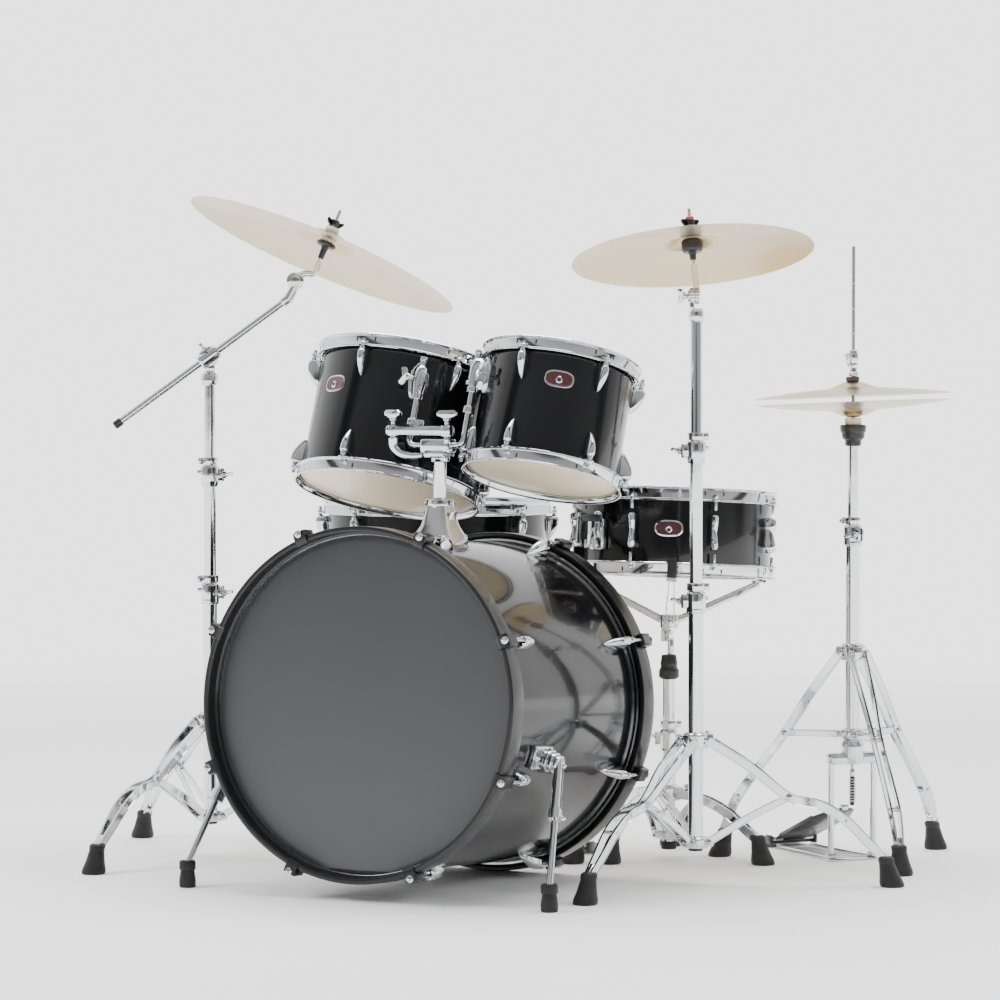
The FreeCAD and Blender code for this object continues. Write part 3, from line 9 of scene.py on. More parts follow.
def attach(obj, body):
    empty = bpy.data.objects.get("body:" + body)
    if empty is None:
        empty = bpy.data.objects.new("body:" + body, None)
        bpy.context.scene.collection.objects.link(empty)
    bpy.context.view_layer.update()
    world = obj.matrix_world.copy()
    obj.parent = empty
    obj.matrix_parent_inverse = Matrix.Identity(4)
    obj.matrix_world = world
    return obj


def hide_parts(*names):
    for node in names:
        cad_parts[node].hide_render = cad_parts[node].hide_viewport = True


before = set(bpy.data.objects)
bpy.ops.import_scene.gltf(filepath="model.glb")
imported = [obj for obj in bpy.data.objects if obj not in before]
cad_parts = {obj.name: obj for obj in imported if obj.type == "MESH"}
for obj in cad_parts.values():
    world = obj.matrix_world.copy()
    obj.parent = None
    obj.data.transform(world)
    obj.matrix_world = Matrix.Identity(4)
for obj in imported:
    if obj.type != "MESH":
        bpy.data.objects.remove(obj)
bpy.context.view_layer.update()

# The looks of a drum kit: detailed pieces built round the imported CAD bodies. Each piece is
# modelled in the frame of its drum, stand or pedal.

KIT_CENTRE = Vector((-64.9, 320.7, 0.0))
# Shared by several pieces: where the drums stand, their radii, and the tubes of the stands.
KICK_HEIGHT, KICK_PITCH, KICK_SLOPE = 310.25, 3.25, 0.0567
HIGH_AT, MID_AT = (180.0, 98.0, 791.7), (-134.0, 122.7, 776.2)
FLOOR_X, FLOOR_Y = -317.0, 588.0
HIGH_R, MID_R, FLOOR_R, SNARE_R = 127.0, 152.4, 203.2, 177.8
SNARE_HEIGHT, SNARE_LEAN, SNARE_PIVOT = 583.0, 0.069, 400.0
BASE_TUBE, BASE_BORE = 12.7, 11.4
MIDDLE_TUBE, MIDDLE_BORE = 11.1, 9.8
UPPER_TUBE = 9.5


# ---- places -------------------------------------------------------------------------------

def place(x, y, z, turn=None):
    spot = (Vector((x, y, z)) - KIT_CENTRE) * 0.001
    return Matrix.Translation(spot) @ (turn or Matrix.Identity(4))


def spin(degrees, axis="Z"):
    return Matrix.Rotation(math.radians(degrees), 4, axis)


def move(x, y, z):
    return Matrix.Translation((x, y, z))


def lean(x, y):
    """The turn that leans +Z to the direction with these x and y components."""
    top = Vector((x, y, math.sqrt(1 - x * x - y * y)))
    return Vector((0, 0, 1)).rotation_difference(top).to_matrix().to_4x4()


def aim(direction, up=(0, 0, 1)):
    """A turn that takes +Z to a direction, keeping +Y near up."""
    z = Vector(direction).normalized()
    y = Vector(up)
    if abs(z.dot(y)) > 0.98:
        y = Vector((0, 1, 0)) if abs(z.y) < 0.9 else Vector((1, 0, 0))
    x = y.cross(z).normalized()
    y = z.cross(x)
    return Matrix((x, y, z)).transposed().to_4x4()


# ---- shapes: each returns (points in mm, faces) -----------------------------------------------

def lathe(profile, sides=72, closed=False):
    """Turns (radius, height) points round Z."""
    angles = np.radians(np.linspace(0, 360.0, sides + 1))[:sides]
    points = np.array([[r * np.cos(a), r * np.sin(a), z] for a in angles for r, z in profile])
    m, faces = len(profile), []
    for i in range(sides):
        j = (i + 1) % sides
        for k in range(m if closed else m - 1):
            n = (k + 1) % m
            quad = [i * m + k, j * m + k, j * m + n, i * m + n]
            if profile[k][0] < 1e-6:
                quad = [i * m + k, j * m + n, i * m + n]
            elif profile[n][0] < 1e-6:
                quad = [i * m + k, j * m + k, i * m + n]
            faces.append(quad)
    return points, faces


def soften(corners, reach, steps=3, closed=False):
    """A polyline with each corner rounded."""
    corners = [np.array(c, float) for c in corners]
    count, out = len(corners), []
    for i, c in enumerate(corners):
        if not closed and i in (0, count - 1):
            out.append(tuple(c))
            continue
        a, b = corners[i - 1], corners[(i + 1) % count]
        la, lb = np.linalg.norm(a - c), np.linalg.norm(b - c)
        r = min(reach, la * 0.45, lb * 0.45)
        p, q = c + (a - c) / la * r, c + (b - c) / lb * r
        for s in np.linspace(0, 1, steps + 1):
            out.append(tuple((1 - s) ** 2 * p + 2 * s * (1 - s) * c + s * s * q))
    return out


def turned(profile, reach, sides, closed=False):
    """A lathed shape whose profile has its corners rounded."""
    return lathe(soften(profile, reach, closed=closed), sides, closed)


def flow(points, steps=8):
    """A smooth path through points."""
    p = [np.array(q, float) for q in points]
    p = [2 * p[0] - p[1], *p, 2 * p[-1] - p[-2]]
    out = []
    for a, b, c, d in zip(p, p[1:], p[2:], p[3:]):
        for t in np.linspace(0, 1, steps, endpoint=False):
            out.append(0.5 * (2 * b + (c - a) * t + (2 * a - 5 * b + 4 * c - d) * t * t
                              + (3 * b - a - 3 * c + d) * t ** 3))
    out.append(p[-2])
    return [tuple(q) for q in out]


def circle(radius, sides=20):
    angles = (2 * math.pi * i / sides for i in range(sides))
    return [(radius * math.cos(a), radius * math.sin(a)) for a in angles]


def oblong(width, height, power=4.0, sides=24):
    """A rounded rectangle."""
    out = []
    for i in range(sides):
        a = 2 * math.pi * i / sides
        c, s = math.cos(a), math.sin(a)
        out.append((width / 2 * math.copysign(abs(c) ** (2 / power), c),
                    height / 2 * math.copysign(abs(s) ** (2 / power), s)))
    return out


def sweep(path, section, up=(0, 0, 1), scale=None):
    """A closed section (side, up) carried along a path; scale is one number per path point."""
    p = np.array(path, float)
    t = np.empty_like(p)
    steps = p[1:] - p[:-1]
    steps /= np.linalg.norm(steps, axis=1)[:, None]
    t[0], t[-1] = steps[0], steps[-1]
    t[1:-1] = steps[1:] + steps[:-1]
    t /= np.linalg.norm(t, axis=1)[:, None]
    u = np.array(up, float)
    if abs(u @ t[0]) > 0.97:
        u = np.array((1.0, 0, 0)) if abs(t[0][0]) < 0.9 else np.array((0, 1.0, 0))
    points, k = [], len(section)
    s2 = np.array(section, float)
    for i in range(len(p)):
        u = u - t[i] * (u @ t[i])
        u /= np.linalg.norm(u)
        side = np.cross(t[i], u)
        f = 1.0 if scale is None else scale[i]
        points.append(p[i] + f * (s2[:, :1] * side + s2[:, 1:] * u))
    return stack(points)


def stack(rings):
    """Faces between rings of equal length, with both ends closed."""
    k = len(rings[0])
    points = np.vstack([np.array(r, float) for r in rings])
    faces = [[i * k + j, i * k + (j + 1) % k, (i + 1) * k + (j + 1) % k, (i + 1) * k + j]
             for i in range(len(rings) - 1) for j in range(k)]
    faces.append(list(range(k))[::-1])
    faces.append([(len(rings) - 1) * k + j for j in range(k)])
    return points, faces


def tube(path, radius, sides=20):
    """A round bar along a path; radius is one number, or one per point."""
    if isinstance(radius, (int, float)):
        return sweep(path, circle(radius, sides))
    return sweep(path, circle(1.0, sides), scale=radius)


def stud(radius, low, high, edge=0.8, sides=24):
    """A round bar along Z with eased ends."""
    e = min(edge, radius * 0.6, (high - low) * 0.4)
    return lathe([(0, low), (radius - e, low), (radius - e * 0.3, low + e * 0.3), (radius, low + e),
                  (radius, high - e), (radius - e * 0.3, high - e * 0.3), (radius - e, high), (0,
                      high)], sides)


def prism(outline, low, high, edge=0.8):
    """An outline in X-Y raised along Z, with eased rims."""
    o = np.array(outline, float)
    c = o.mean(axis=0)
    away = (o - c) / np.linalg.norm(o - c, axis=1)[:, None]
    rings = []
    for inset, z in ((edge, low), (edge * 0.3, low + edge * 0.3), (0, low + edge), (0, high - edge),
                     (edge * 0.3, high - edge * 0.3), (edge, high)):
        q = o - away * inset
        rings.append(np.column_stack([q, np.full(len(q), z)]))
    return stack(rings)


def swell(rows, power, steps, foot, start=0.0, foot_width=1.0):
    """A rounded boss that swells to +X from a drum's shell; each row is (height, half width, depth),
    the depth counts from start, and the flat back is at x = foot."""
    rings = []
    for z, w, d in rows:
        arc = [math.pi * (i / steps - 0.5) for i in range(steps + 1)]
        ring = [(start + d * abs(math.cos(a)) ** power, w * math.sin(a), z) for a in arc]
        rings.append(ring + [(foot, w * foot_width, z), (foot, -w * foot_width, z)])
    return stack(rings)


def block(length, width, height, edge=1.5):
    """A box about its centre with rounded edges."""
    edge = min(edge, 0.45 * min(length, width, height))
    mesh = bmesh.new()
    bmesh.ops.create_cube(mesh, size=1.0)
    bmesh.ops.scale(mesh, vec=(length, width, height), verts=mesh.verts)
    bmesh.ops.bevel(mesh, geom=mesh.edges[:], offset=edge, segments=2, profile=0.5, affect="EDGES")
    mesh.verts.index_update()
    made = np.array([v.co for v in mesh.verts]), [[v.index for v in f.verts] for f in mesh.faces]
    mesh.free()
    return made


def facing_at(spot, direction):
    """The place at a spot whose +Z looks along a direction."""
    return Matrix.Translation(spot) @ aim(direction)


# ---- pieces -----------------------------------------------------------------------------------

class Piece:
    """One visible piece, gathered from shapes in the frame of its unit."""

    def __init__(self, name, body, where, nodes, slot="chrome_plated_steel"):
        self.name, self.body, self.where = name, body, where
        self.nodes, self.slot = nodes, slot
        self.points, self.faces, self.finish, self.total = [], [], [], 0

    def add(self, shape, material, *turns):
        points, faces = shape
        points = np.asarray(points, float)
        for turn in reversed(turns):
            m = np.array(turn)
            points = points @ m[:3, :3].T + m[:3, 3]
        self.points.append(points)
        self.faces += [[i + self.total for i in f] for f in faces]
        self.finish += [material] * len(faces)
        self.total += len(points)

    def make(self, sharp=38.0):
        mesh = bpy.data.meshes.new(self.name)
        points = np.vstack(self.points) * 0.001
        mesh.from_pydata(points.tolist(), [], self.faces)
        used = list(dict.fromkeys(self.finish))
        for material in used:
            mesh.materials.append(material)
        index = {m: i for i, m in enumerate(used)}
        mesh.polygons.foreach_set("material_index", [index[m] for m in self.finish])
        mesh.polygons.foreach_set("use_smooth", [True] * len(self.faces))
        mesh.update()
        fix = bmesh.new()
        fix.from_mesh(mesh)
        bmesh.ops.recalc_face_normals(fix, faces=fix.faces[:])
        fix.to_mesh(mesh)
        fix.free()
        mesh.set_sharp_from_angle(angle=math.radians(sharp))
        item = bpy.data.objects.new(self.name, mesh)
        bpy.context.scene.collection.objects.link(item)
        item.matrix_world = self.where
        bpy.context.view_layer.update()
        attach(item, self.body)
        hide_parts(*self.nodes)


# ---- finishes ---------------------------------------------------------------------------------

def node(tree, kind, **values):
    """A shader node with some inputs set; an underscore in an input's name stands for a space."""
    item = tree.nodes.new("ShaderNode" + kind)
    for key, value in values.items():
        item.inputs[key.replace("_", " ")].default_value = value
    return item


def plain(name, colour, metal, rough, coat, coat_rough):
    """A material with a principled shader: returns the material, its tree, shader and coordinates."""
    material = bpy.data.materials.new(name)
    material.use_nodes = True
    tree = material.node_tree
    shader = tree.nodes["Principled BSDF"]
    for key, value in (("Base Color", (*colour, 1)), ("Metallic", metal), ("Roughness", rough),
                       ("Coat Weight", coat), ("Coat Roughness", coat_rough)):
        shader.inputs[key].default_value = value
    return material, tree, shader, node(tree, "TexCoord").outputs["Object"]


def blend(tree, factor, first, second, shader):
    """Mixes two colours into the base colour."""
    mix = tree.nodes.new("ShaderNodeMix")
    mix.data_type = "RGBA"
    mix.inputs["A"].default_value = (*first, 1)
    mix.inputs["B"].default_value = (*second, 1)
    tree.links.new(factor, mix.inputs["Factor"])
    tree.links.new(mix.outputs["Result"], shader.inputs["Base Color"])


def finish(name, colour, metal=0.0, rough=0.4, coat=0.0, coat_rough=0.05, wear=None, bump=None,
           tint=None):
    """A finish. wear is (scale, spread) of the gloss, bump (scale, strength, depth in metres),
    tint (scale, second colour)."""
    material, tree, shader, here = plain(name, colour, metal, rough, coat, coat_rough)
    link = tree.links.new

    def texture(scale, detail=4.0):
        item = node(tree, "TexNoise", Scale=scale, Detail=detail)
        link(here, item.inputs["Vector"])
        return item.outputs["Fac"]

    if wear:
        low, high = max(0.0, rough - wear[1]), rough + wear[1]
        gloss = node(tree, "MapRange", From_Min=0.35, From_Max=0.65, To_Min=low, To_Max=high)
        link(texture(wear[0]), gloss.inputs["Value"])
        link(gloss.outputs["Result"], shader.inputs["Roughness"])
    if tint:
        blend(tree, texture(tint[0]), colour, tint[1], shader)
    if bump:
        item = node(tree, "Bump", Strength=bump[1], Distance=bump[2])
        link(texture(bump[0], 3.0), item.inputs["Height"])
        link(item.outputs["Normal"], shader.inputs["Normal"])
    return material


CHROME = finish("chrome", (0.72, 0.73, 0.75), 1.0, 0.07, wear=(55, 0.035), bump=(300, 0.04, 0.0002))
CAST = finish("cast_chrome", (0.68, 0.69, 0.71), 1.0, 0.16, wear=(70, 0.05), bump=(180, 0.10, 0.0004))
STEEL = finish("thread_steel", (0.60, 0.60, 0.61), 1.0, 0.28, wear=(200, 0.08))
WRAP = finish("black_wrap", (0.0035, 0.0037, 0.0042), 0.0, 0.16, 0.55, 0.03, wear=(9, 0.05),
              bump=(6, 0.03, 0.002))
LACQUER = finish("black_lacquer", (0.005, 0.005, 0.0055), 0.0, 0.34, 0.35, 0.12, wear=(24, 0.06),
    bump=(40, 0.05, 0.0005))
PLY = finish("inner_ply", (0.50, 0.34, 0.19), 0.0, 0.55, tint=(14, (0.62, 0.45, 0.27)),
    bump=(60, 0.2, 0.0005))
DARK_HEAD = finish("dark_head", (0.026, 0.027, 0.029), 0.0, 0.36, wear=(7, 0.03),
    bump=(500, 0.05, 0.0002))
WHITE_HEAD = finish("coated_head", (0.84, 0.82, 0.76), 0.0, 0.62, wear=(60, 0.08),
    bump=(900, 0.25, 0.0003))
CREAM_HEAD = finish("cream_head", (0.93, 0.75, 0.44), 0.0, 0.34, 0.15, 0.08, wear=(12, 0.05),
                    tint=(3, (0.84, 0.75, 0.58)))
RUBBER = finish("rubber", (0.010, 0.010, 0.011), 0.0, 0.58, wear=(60, 0.1), bump=(220, 0.3, 0.0006))
PLASTIC = finish("black_plastic", (0.012, 0.012, 0.013), 0.0, 0.34, wear=(90, 0.06),
    bump=(300, 0.08, 0.0003))
# Black paint of the castings; the same finish also serves as painted shade in slots, gaps and holes.
BLACK_AND_PAINTED_SHADE = finish("black_casting", (0.014, 0.014, 0.015), 0.0, 0.38, 0.3, 0.2, wear=(80, 0.08),
    bump=(400, 0.2, 0.0004))
FELT = finish("cream_felt", (0.66, 0.58, 0.44), 0.0, 0.95, tint=(500, (0.78, 0.71, 0.58)),
    bump=(700, 0.9, 0.0015))
GREY_FELT = finish("grey_felt", (0.30, 0.29, 0.27), 0.0, 0.95, tint=(500, (0.42, 0.41, 0.39)),
    bump=(700, 0.9, 0.0015))
DARK_FELT = finish("dark_felt", (0.055, 0.045, 0.036), 0.0, 0.95, tint=(500, (0.10, 0.085, 0.07)),
    bump=(700, 0.9, 0.0015))
RED = finish("red_plastic", (0.50, 0.03, 0.04), 0.0, 0.35, wear=(90, 0.05))
PLATE = finish("badge_field", (0.045, 0.008, 0.009), 0.0, 0.30, 0.6, 0.05, wear=(120, 0.05))


SOFT_IOR = 1.36
for material, key in ((WRAP, "IOR"), (WRAP, "Coat IOR"), (LACQUER, "IOR")):
    material.node_tree.nodes["Principled BSDF"].inputs[key].default_value = SOFT_IOR


def brass(name, colour):
    """Lathed bronze: fine rings round Z, hammer marks, and light that spreads along the radius."""
    material, tree, shader, here = plain(name, colour, 1.0, 0.26, 0.25, 0.12)
    link = tree.links.new
    shader.inputs["Anisotropic"].default_value = 0.65
    tangent = node(tree, "Tangent")
    tangent.direction_type, tangent.axis = "RADIAL", "Z"
    link(tangent.outputs["Tangent"], shader.inputs["Tangent"])
    rings = node(tree, "TexWave", Scale=95.0, Distortion=0.35, Detail=2.0)
    rings.wave_type, rings.rings_direction = "RINGS", "Z"
    hammer = node(tree, "TexVoronoi", Scale=48.0)
    hammer.feature = "SMOOTH_F1"
    broad = node(tree, "TexNoise", Scale=9.0)
    for item in (rings, hammer, broad):
        link(here, item.inputs["Vector"])
    fine = node(tree, "Bump", Strength=0.16, Distance=0.0004)
    coarse = node(tree, "Bump", Strength=0.10, Distance=0.0012)
    link(rings.outputs["Fac"], fine.inputs["Height"])
    link(hammer.outputs["Distance"], coarse.inputs["Height"])
    link(fine.outputs["Normal"], coarse.inputs["Normal"])
    link(coarse.outputs["Normal"], shader.inputs["Normal"])
    shade = (colour[0] * 0.86, colour[1] * 0.82, colour[2] * 0.76)
    blend(tree, broad.outputs["Fac"], colour, shade, shader)
    return material


BRONZE = brass("cymbal_bronze", (0.66, 0.54, 0.33))


# ---- drums --------------------------------------------------------------------------------------

def lug(height, depth, width):
    """A leaf-shaped lug in the X-Z plane: base on the shell at x = 0, blunt end at z = 0, point down."""
    rows = ((0.0, 0.55, 0.55), (0.02, 0.78, 0.80), (0.07, 0.94, 0.95), (0.16, 1.0, 1.0),
            (0.34, 0.97, 0.98), (0.52, 0.85, 0.88), (0.70, 0.64, 0.70), (0.85, 0.42, 0.48),
            (0.95, 0.24, 0.26), (1.0, 0.08, 0.08))
    rows = [(-height * t, width / 2 * w, depth * d) for t, d, w in rows]
    return swell(rows, 0.62, 14, -1.5, foot_width=0.9)


def key_rod(piece, turn, radius, low, high, sign):
    """A tension rod with washer, collar and square head, standing at a radius from the drum's axis."""
    at = turn @ move(radius, 0, 0)
    piece.add(stud(2.7, min(low, high), max(low, high), 0.3, 14), STEEL, at)
    base = high + sign * 1.4
    piece.add(stud(6.2, min(high, base), max(high, base), 0.4), CHROME, at)
    piece.add(lathe([(5.4, base), (5.2, base + sign * 1.6), (3.9, base + sign * 3.0),
        (0, base + sign * 3.0)], 20), CHROME, at)
    piece.add(block(5.6, 5.6, 7.0, 0.8), CHROME, at, move(0, 0, base + sign * 5.6), spin(20))


def steel_hoop(piece, radius, face, sign, turns):
    """A pressed hoop: outward lip, tall band, rolled flange with an ear at each rod."""
    wall, lip, drop, top = radius + 5.4, radius + 10.9, 12.0, 11.5
    band = [(wall, face - drop + 1), (wall, face + top - 2.5), (wall + 1.4, face + top - 0.5),
        (wall + 3.0, face + top),
            (lip - 0.6, face + top), (lip, face + top - 1.0), (lip - 0.8, face + top - 2.1),
            (wall + 3.6, face + top - 2.4), (wall + 2.0, face + top - 4.2), (wall + 2.0,
                face - drop + 4.6),
            (wall + 2.8, face - drop + 2.9), (lip - 1.0, face - drop + 2.1), (lip, face - drop + 1.1),
            (lip - 1.0, face - drop), (wall + 1.0, face - drop)]
    piece.add(lathe([(r, z * sign) for r, z in band], 128, True), CHROME)
    seat = [(radius + 2, face + 1.6), (wall + 0.5, face + 1.6), (wall + 0.5, face + 3.2),
        (radius + 2, face + 3.2)]
    piece.add(lathe([(r, z * sign) for r, z in seat], 128, True), CHROME)
    for turn in turns:
        outline = [(wall + 1.2, -13), (lip + 1, -9.5), (radius + 17.0, -7.0), (radius + 19.5, -3.5),
                   (radius + 19.5, 3.5), (radius + 17.0, 7.0), (lip + 1, 9.5), (wall + 1.2, 13)]
        low = sign * (face - drop)
        piece.add(prism(outline, min(low, low + sign * 2.2), max(low, low + sign * 2.2), 0.5), CHROME,
            turn)
        # Painted shade: a thin dark block each side of the ear stands in for the shade inside the hoop's
        # slot.
        for side in (-1, 1):
            piece.add(block(1.0, 3.2, 7.5, 0.3), BLACK_AND_PAINTED_SHADE,
                turn @ spin(side * 6.5 * 150 / radius) @ move(wall + 1.85, 0, sign * (face + 1.5)))


def film(piece, radius, rise, sign, material):
    """A drumhead: film with its turned-down collar and aluminium flesh ring."""
    z = sign * rise
    piece.add(lathe([(0, z + sign * 1.0), (radius - 6, z + sign * 1.0), (radius - 1, z + sign * 0.6),
        (radius + 1.6, z - sign * 1.0),
                     (radius + 2.2, z - sign * 7.5)], 128), material)
    ring = [(radius + 1.8, rise - 8.8), (radius + 4.4, rise - 8.8), (radius + 4.4, rise + 1.0),
        (radius + 2.0, rise + 1.0)]
    piece.add(lathe([(r, q * sign) for r, q in ring], 128, True), CAST)


def badge(piece, radius, turn, height):
    """A plain oval plate with a bright rim round the shell's air vent."""
    for grow, lift, material in ((0.0, 1.0, CHROME), (-2.4, 1.6, PLATE)):
        rings = []
        for inset, out in ((0.0, -0.5), (0.0, lift * 0.7), (0.8, lift)):
            ring = []
            for i in range(40):
                a = 2 * math.pi * i / 40
                across = (25 + grow - inset) * math.copysign(abs(math.cos(a)) ** 0.7, math.cos(a))
                up = (14.5 + grow - inset) * math.copysign(abs(math.sin(a)) ** 0.7, math.sin(a))
                r, b = radius + out, across / radius
                ring.append((r * math.cos(b), r * math.sin(b), up + height))
            rings.append(ring)
        piece.add(stack(rings), material, turn)
    vent = turn @ move(radius, 0, height - 2) @ spin(90, "Y")
    piece.add(lathe([(3.0, 0.8), (3.2, 2.2), (4.8, 2.6), (6.0, 2.0), (6.4, 0.0)], 28), CHROME, vent)
    # Painted shade: a dark disc deep in the vent stands in for the shade inside the hole.
    piece.add(lathe([(0, 0.4), (3.1, 1.0)], 20), BLACK_AND_PAINTED_SHADE, vent)


def drum(name, body, where, radius, depth, count, first, badge_turn, badge_height,
        leaf=(46.0, 23.0, 15.0), double=False):
    """Shell, heads, hoops and lugs of one drum, +Z towards its batter head."""
    half = depth / 2
    turns = [spin(first + 360 * i / count) for i in range(count)]
    shell = Piece(name + "_shell_wrap", body, where, [name + "_shell"], "black_wrap_shell")
    shell.add(turned([(radius - 6, -half + 3), (radius - 2.5, -half), (radius, -half + 2.5),
        (radius, half - 2.5),
                            (radius - 2.5, half), (radius - 6, half - 3)], 1.2, 160), WRAP)
    shell.add(lathe([(radius - 6, half - 3), (radius - 6, -half + 3)], 96), PLY)
    badge(shell, radius, spin(badge_turn), badge_height)
    shell.make(30)
    heads = Piece(name + "_drumheads", body, where, [name + "_heads"], "coated_head")
    film(heads, radius, half, 1, WHITE_HEAD)
    film(heads, radius, half, -1, CREAM_HEAD)
    heads.make(50)
    hoops = Piece(name + "_steel_hoops", body, where, [name + "_hoops"])
    metal = Piece(name + "_lugs_rods", body, where, [name + "_lugs_and_rods"])
    for sign in (1, -1):
        steel_hoop(hoops, radius, half, sign, turns)
        for turn in turns:
            flip = Matrix.Identity(4) if sign > 0 else Matrix.Rotation(math.pi, 4, "X")
            rod_end = sign * (half - 28)
            key_rod(metal, turn, radius + 14, rod_end, sign * (half - 10), sign)
            if not double:
                at = turn @ move(radius, 0, sign * (half - 17.5)) @ flip
                metal.add(lug(*leaf), CHROME, at)
                metal.add(stud(4.6, -1.0, 3.0, 0.6), CAST, at @ move(14, 0, 0))
            elif sign > 0:
                rows = [(z, leaf[2] / 2 * w, leaf[1] * d) for z, d,
                    w in ((-31, 0.6, 0.6), (-30, 0.86, 0.86), (-26, 1.0, 1.0), (-14, 0.94, 0.92),
                    (0, 0.78, 0.8), (14, 0.94, 0.92),
                                (26, 1.0, 1.0), (30, 0.86, 0.86), (31, 0.6, 0.6))]
                metal.add(swell(rows, 0.6, 14, -1.5), CHROME, turn @ move(radius, 0, 0))
    hoops.make(40)
    metal.make(40)


TOM_LEAN = lean(0.03, 0.298)
HIGH_TOM = place(*HIGH_AT, TOM_LEAN)
MID_TOM = place(*MID_AT, TOM_LEAN)
FLOOR_TOM = place(FLOOR_X, FLOOR_Y, 420.0)
SNARE = place(181.5, 560.8, SNARE_HEIGHT, lean(0, SNARE_LEAN))
drum("high_tom", "high_tom", HIGH_TOM, HIGH_R, 196.0, 6, 30.0, -61.0, 42.0)
drum("mid_tom", "mid_tom", MID_TOM, MID_R, 222.0, 6, 30.0, -112.0, 36.0)
drum("floor_tom", "floor_tom", FLOOR_TOM, FLOOR_R, 406.0, 8, 30.0, -82.0, 60.0)
drum("snare", "snare_drum", SNARE, SNARE_R, 133.0, 8, 4.0, -66.0, 5.0, (62.0, 21.0, 15.0), True)


# ---- kick drum ------------------------------------------------------------------------------------

KICK = place(0, 0, KICK_HEIGHT, spin(90 - KICK_PITCH, "X"))


def kick_drum():
    """Shell, heads, wooden hoops, and lugs with claws, on the kick drum's own axis."""
    r, half, rod_r = 279.4, 228.5, 303.0
    turns = [spin(22.5 + 45 * i) for i in range(8)]
    shell = Piece("kick_shell_wrap", "frame", KICK, ["kick_shell"], "black_wrap_shell")
    shell.add(turned([(r - 7, -half + 3), (r - 3, -half), (r, -half + 2.5), (r, half - 2.5),
        (r - 3, half),
                            (r - 7, half - 3)], 1.2, 192), WRAP)
    shell.add(lathe([(r - 7, half - 3), (r - 7, -half + 3)], 128), PLY)
    shell.make(30)
    for side, sign, material in (("front", 1, DARK_HEAD), ("batter", -1, WHITE_HEAD)):
        head = Piece(f"kick_{side}_drumhead", "frame", KICK, [f"kick_{side}_head"],
                     "dark_head" if sign > 0 else "coated_head")
        z = sign * half
        head.add(lathe([(0, z + sign * 1.6), (r - 9, z + sign * 1.6), (r - 3, z + sign * 1.0),
            (r + 1.6, z - sign * 0.5),
                        (r + 2.4, z - sign * 8.0)], 160), material)
        ring = [(r + 2, half - 9), (r + 5.2, half - 9), (r + 5.2, half + 1.6), (r + 2.2, half + 1.6)]
        head.add(lathe([(a, b * sign) for a, b in ring], 160, True), CAST)
        head.make(50)
    hoops = Piece("kick_wooden_hoops", "frame", KICK, ["kick_hoops"], "black_lacquered_hoop")
    metal = Piece("kick_lugs_claws", "frame", KICK, ["kick_lugs_and_claws"])
    for sign in (1, -1):
        low, high = half - 10, half + 30
        ring = soften([(286.2, low + 1), (296, low), (296, high), (286.2, high)], 2.6, 3, True)
        hoops.add(lathe([(a, b * sign) for a, b in ring], 192, True), LACQUER)
        inner = [(282.4, half + 2.4), (286.6, half + 2.4), (286.6, half + 8), (282.4, half + 6)]
        hoops.add(lathe([(a, b * sign) for a, b in inner], 160, True), LACQUER)
        flip = Matrix.Identity(4) if sign > 0 else Matrix.Rotation(math.pi, 4, "X")
        for turn in turns:
            at = turn @ flip
            metal.add(lug(62.0, 29.0, 21.0), CHROME, at, move(r, 0, half - 34))
            metal.add(stud(5.6, half - 37, half - 30, 0.8), CAST, at, move(rod_r, 0, 0))
            metal.add(stud(2.9, half - 40, half + 34, 0.3, 14), STEEL, at, move(rod_r, 0, 0))
            metal.add(stud(6.4, half + 34, half + 36, 0.5), CHROME, at, move(rod_r, 0, 0))
            metal.add(block(6.0, 6.0, 7.0, 0.8), CHROME, at, move(rod_r, 0, half + 39), spin(15))
            path = soften([(308.5, half + 2), (307.6, half + 32), (301.5, half + 33.4),
                (290, half + 33.2), (285.6, half + 31.6)], 4.0, 4)
            rings = []
            for i, (x, z) in enumerate(path):
                w = 0.72 + 0.28 * min(1.0, i / 4)
                rings.append([(x - 1.6, -11.5 * w, z - 1.6), (x + 0.6, -10.5 * w, z + 0.6),
                    (x + 0.6, 10.5 * w, z + 0.6), (x - 1.6, 11.5 * w, z - 1.6)])
            metal.add(stack(rings), LACQUER, at)
            metal.add(block(12.0, 23.0, 30.0, 2.5), LACQUER, at, move(302.4, 0, half + 17))
    hoops.make(35)
    metal.make(40)


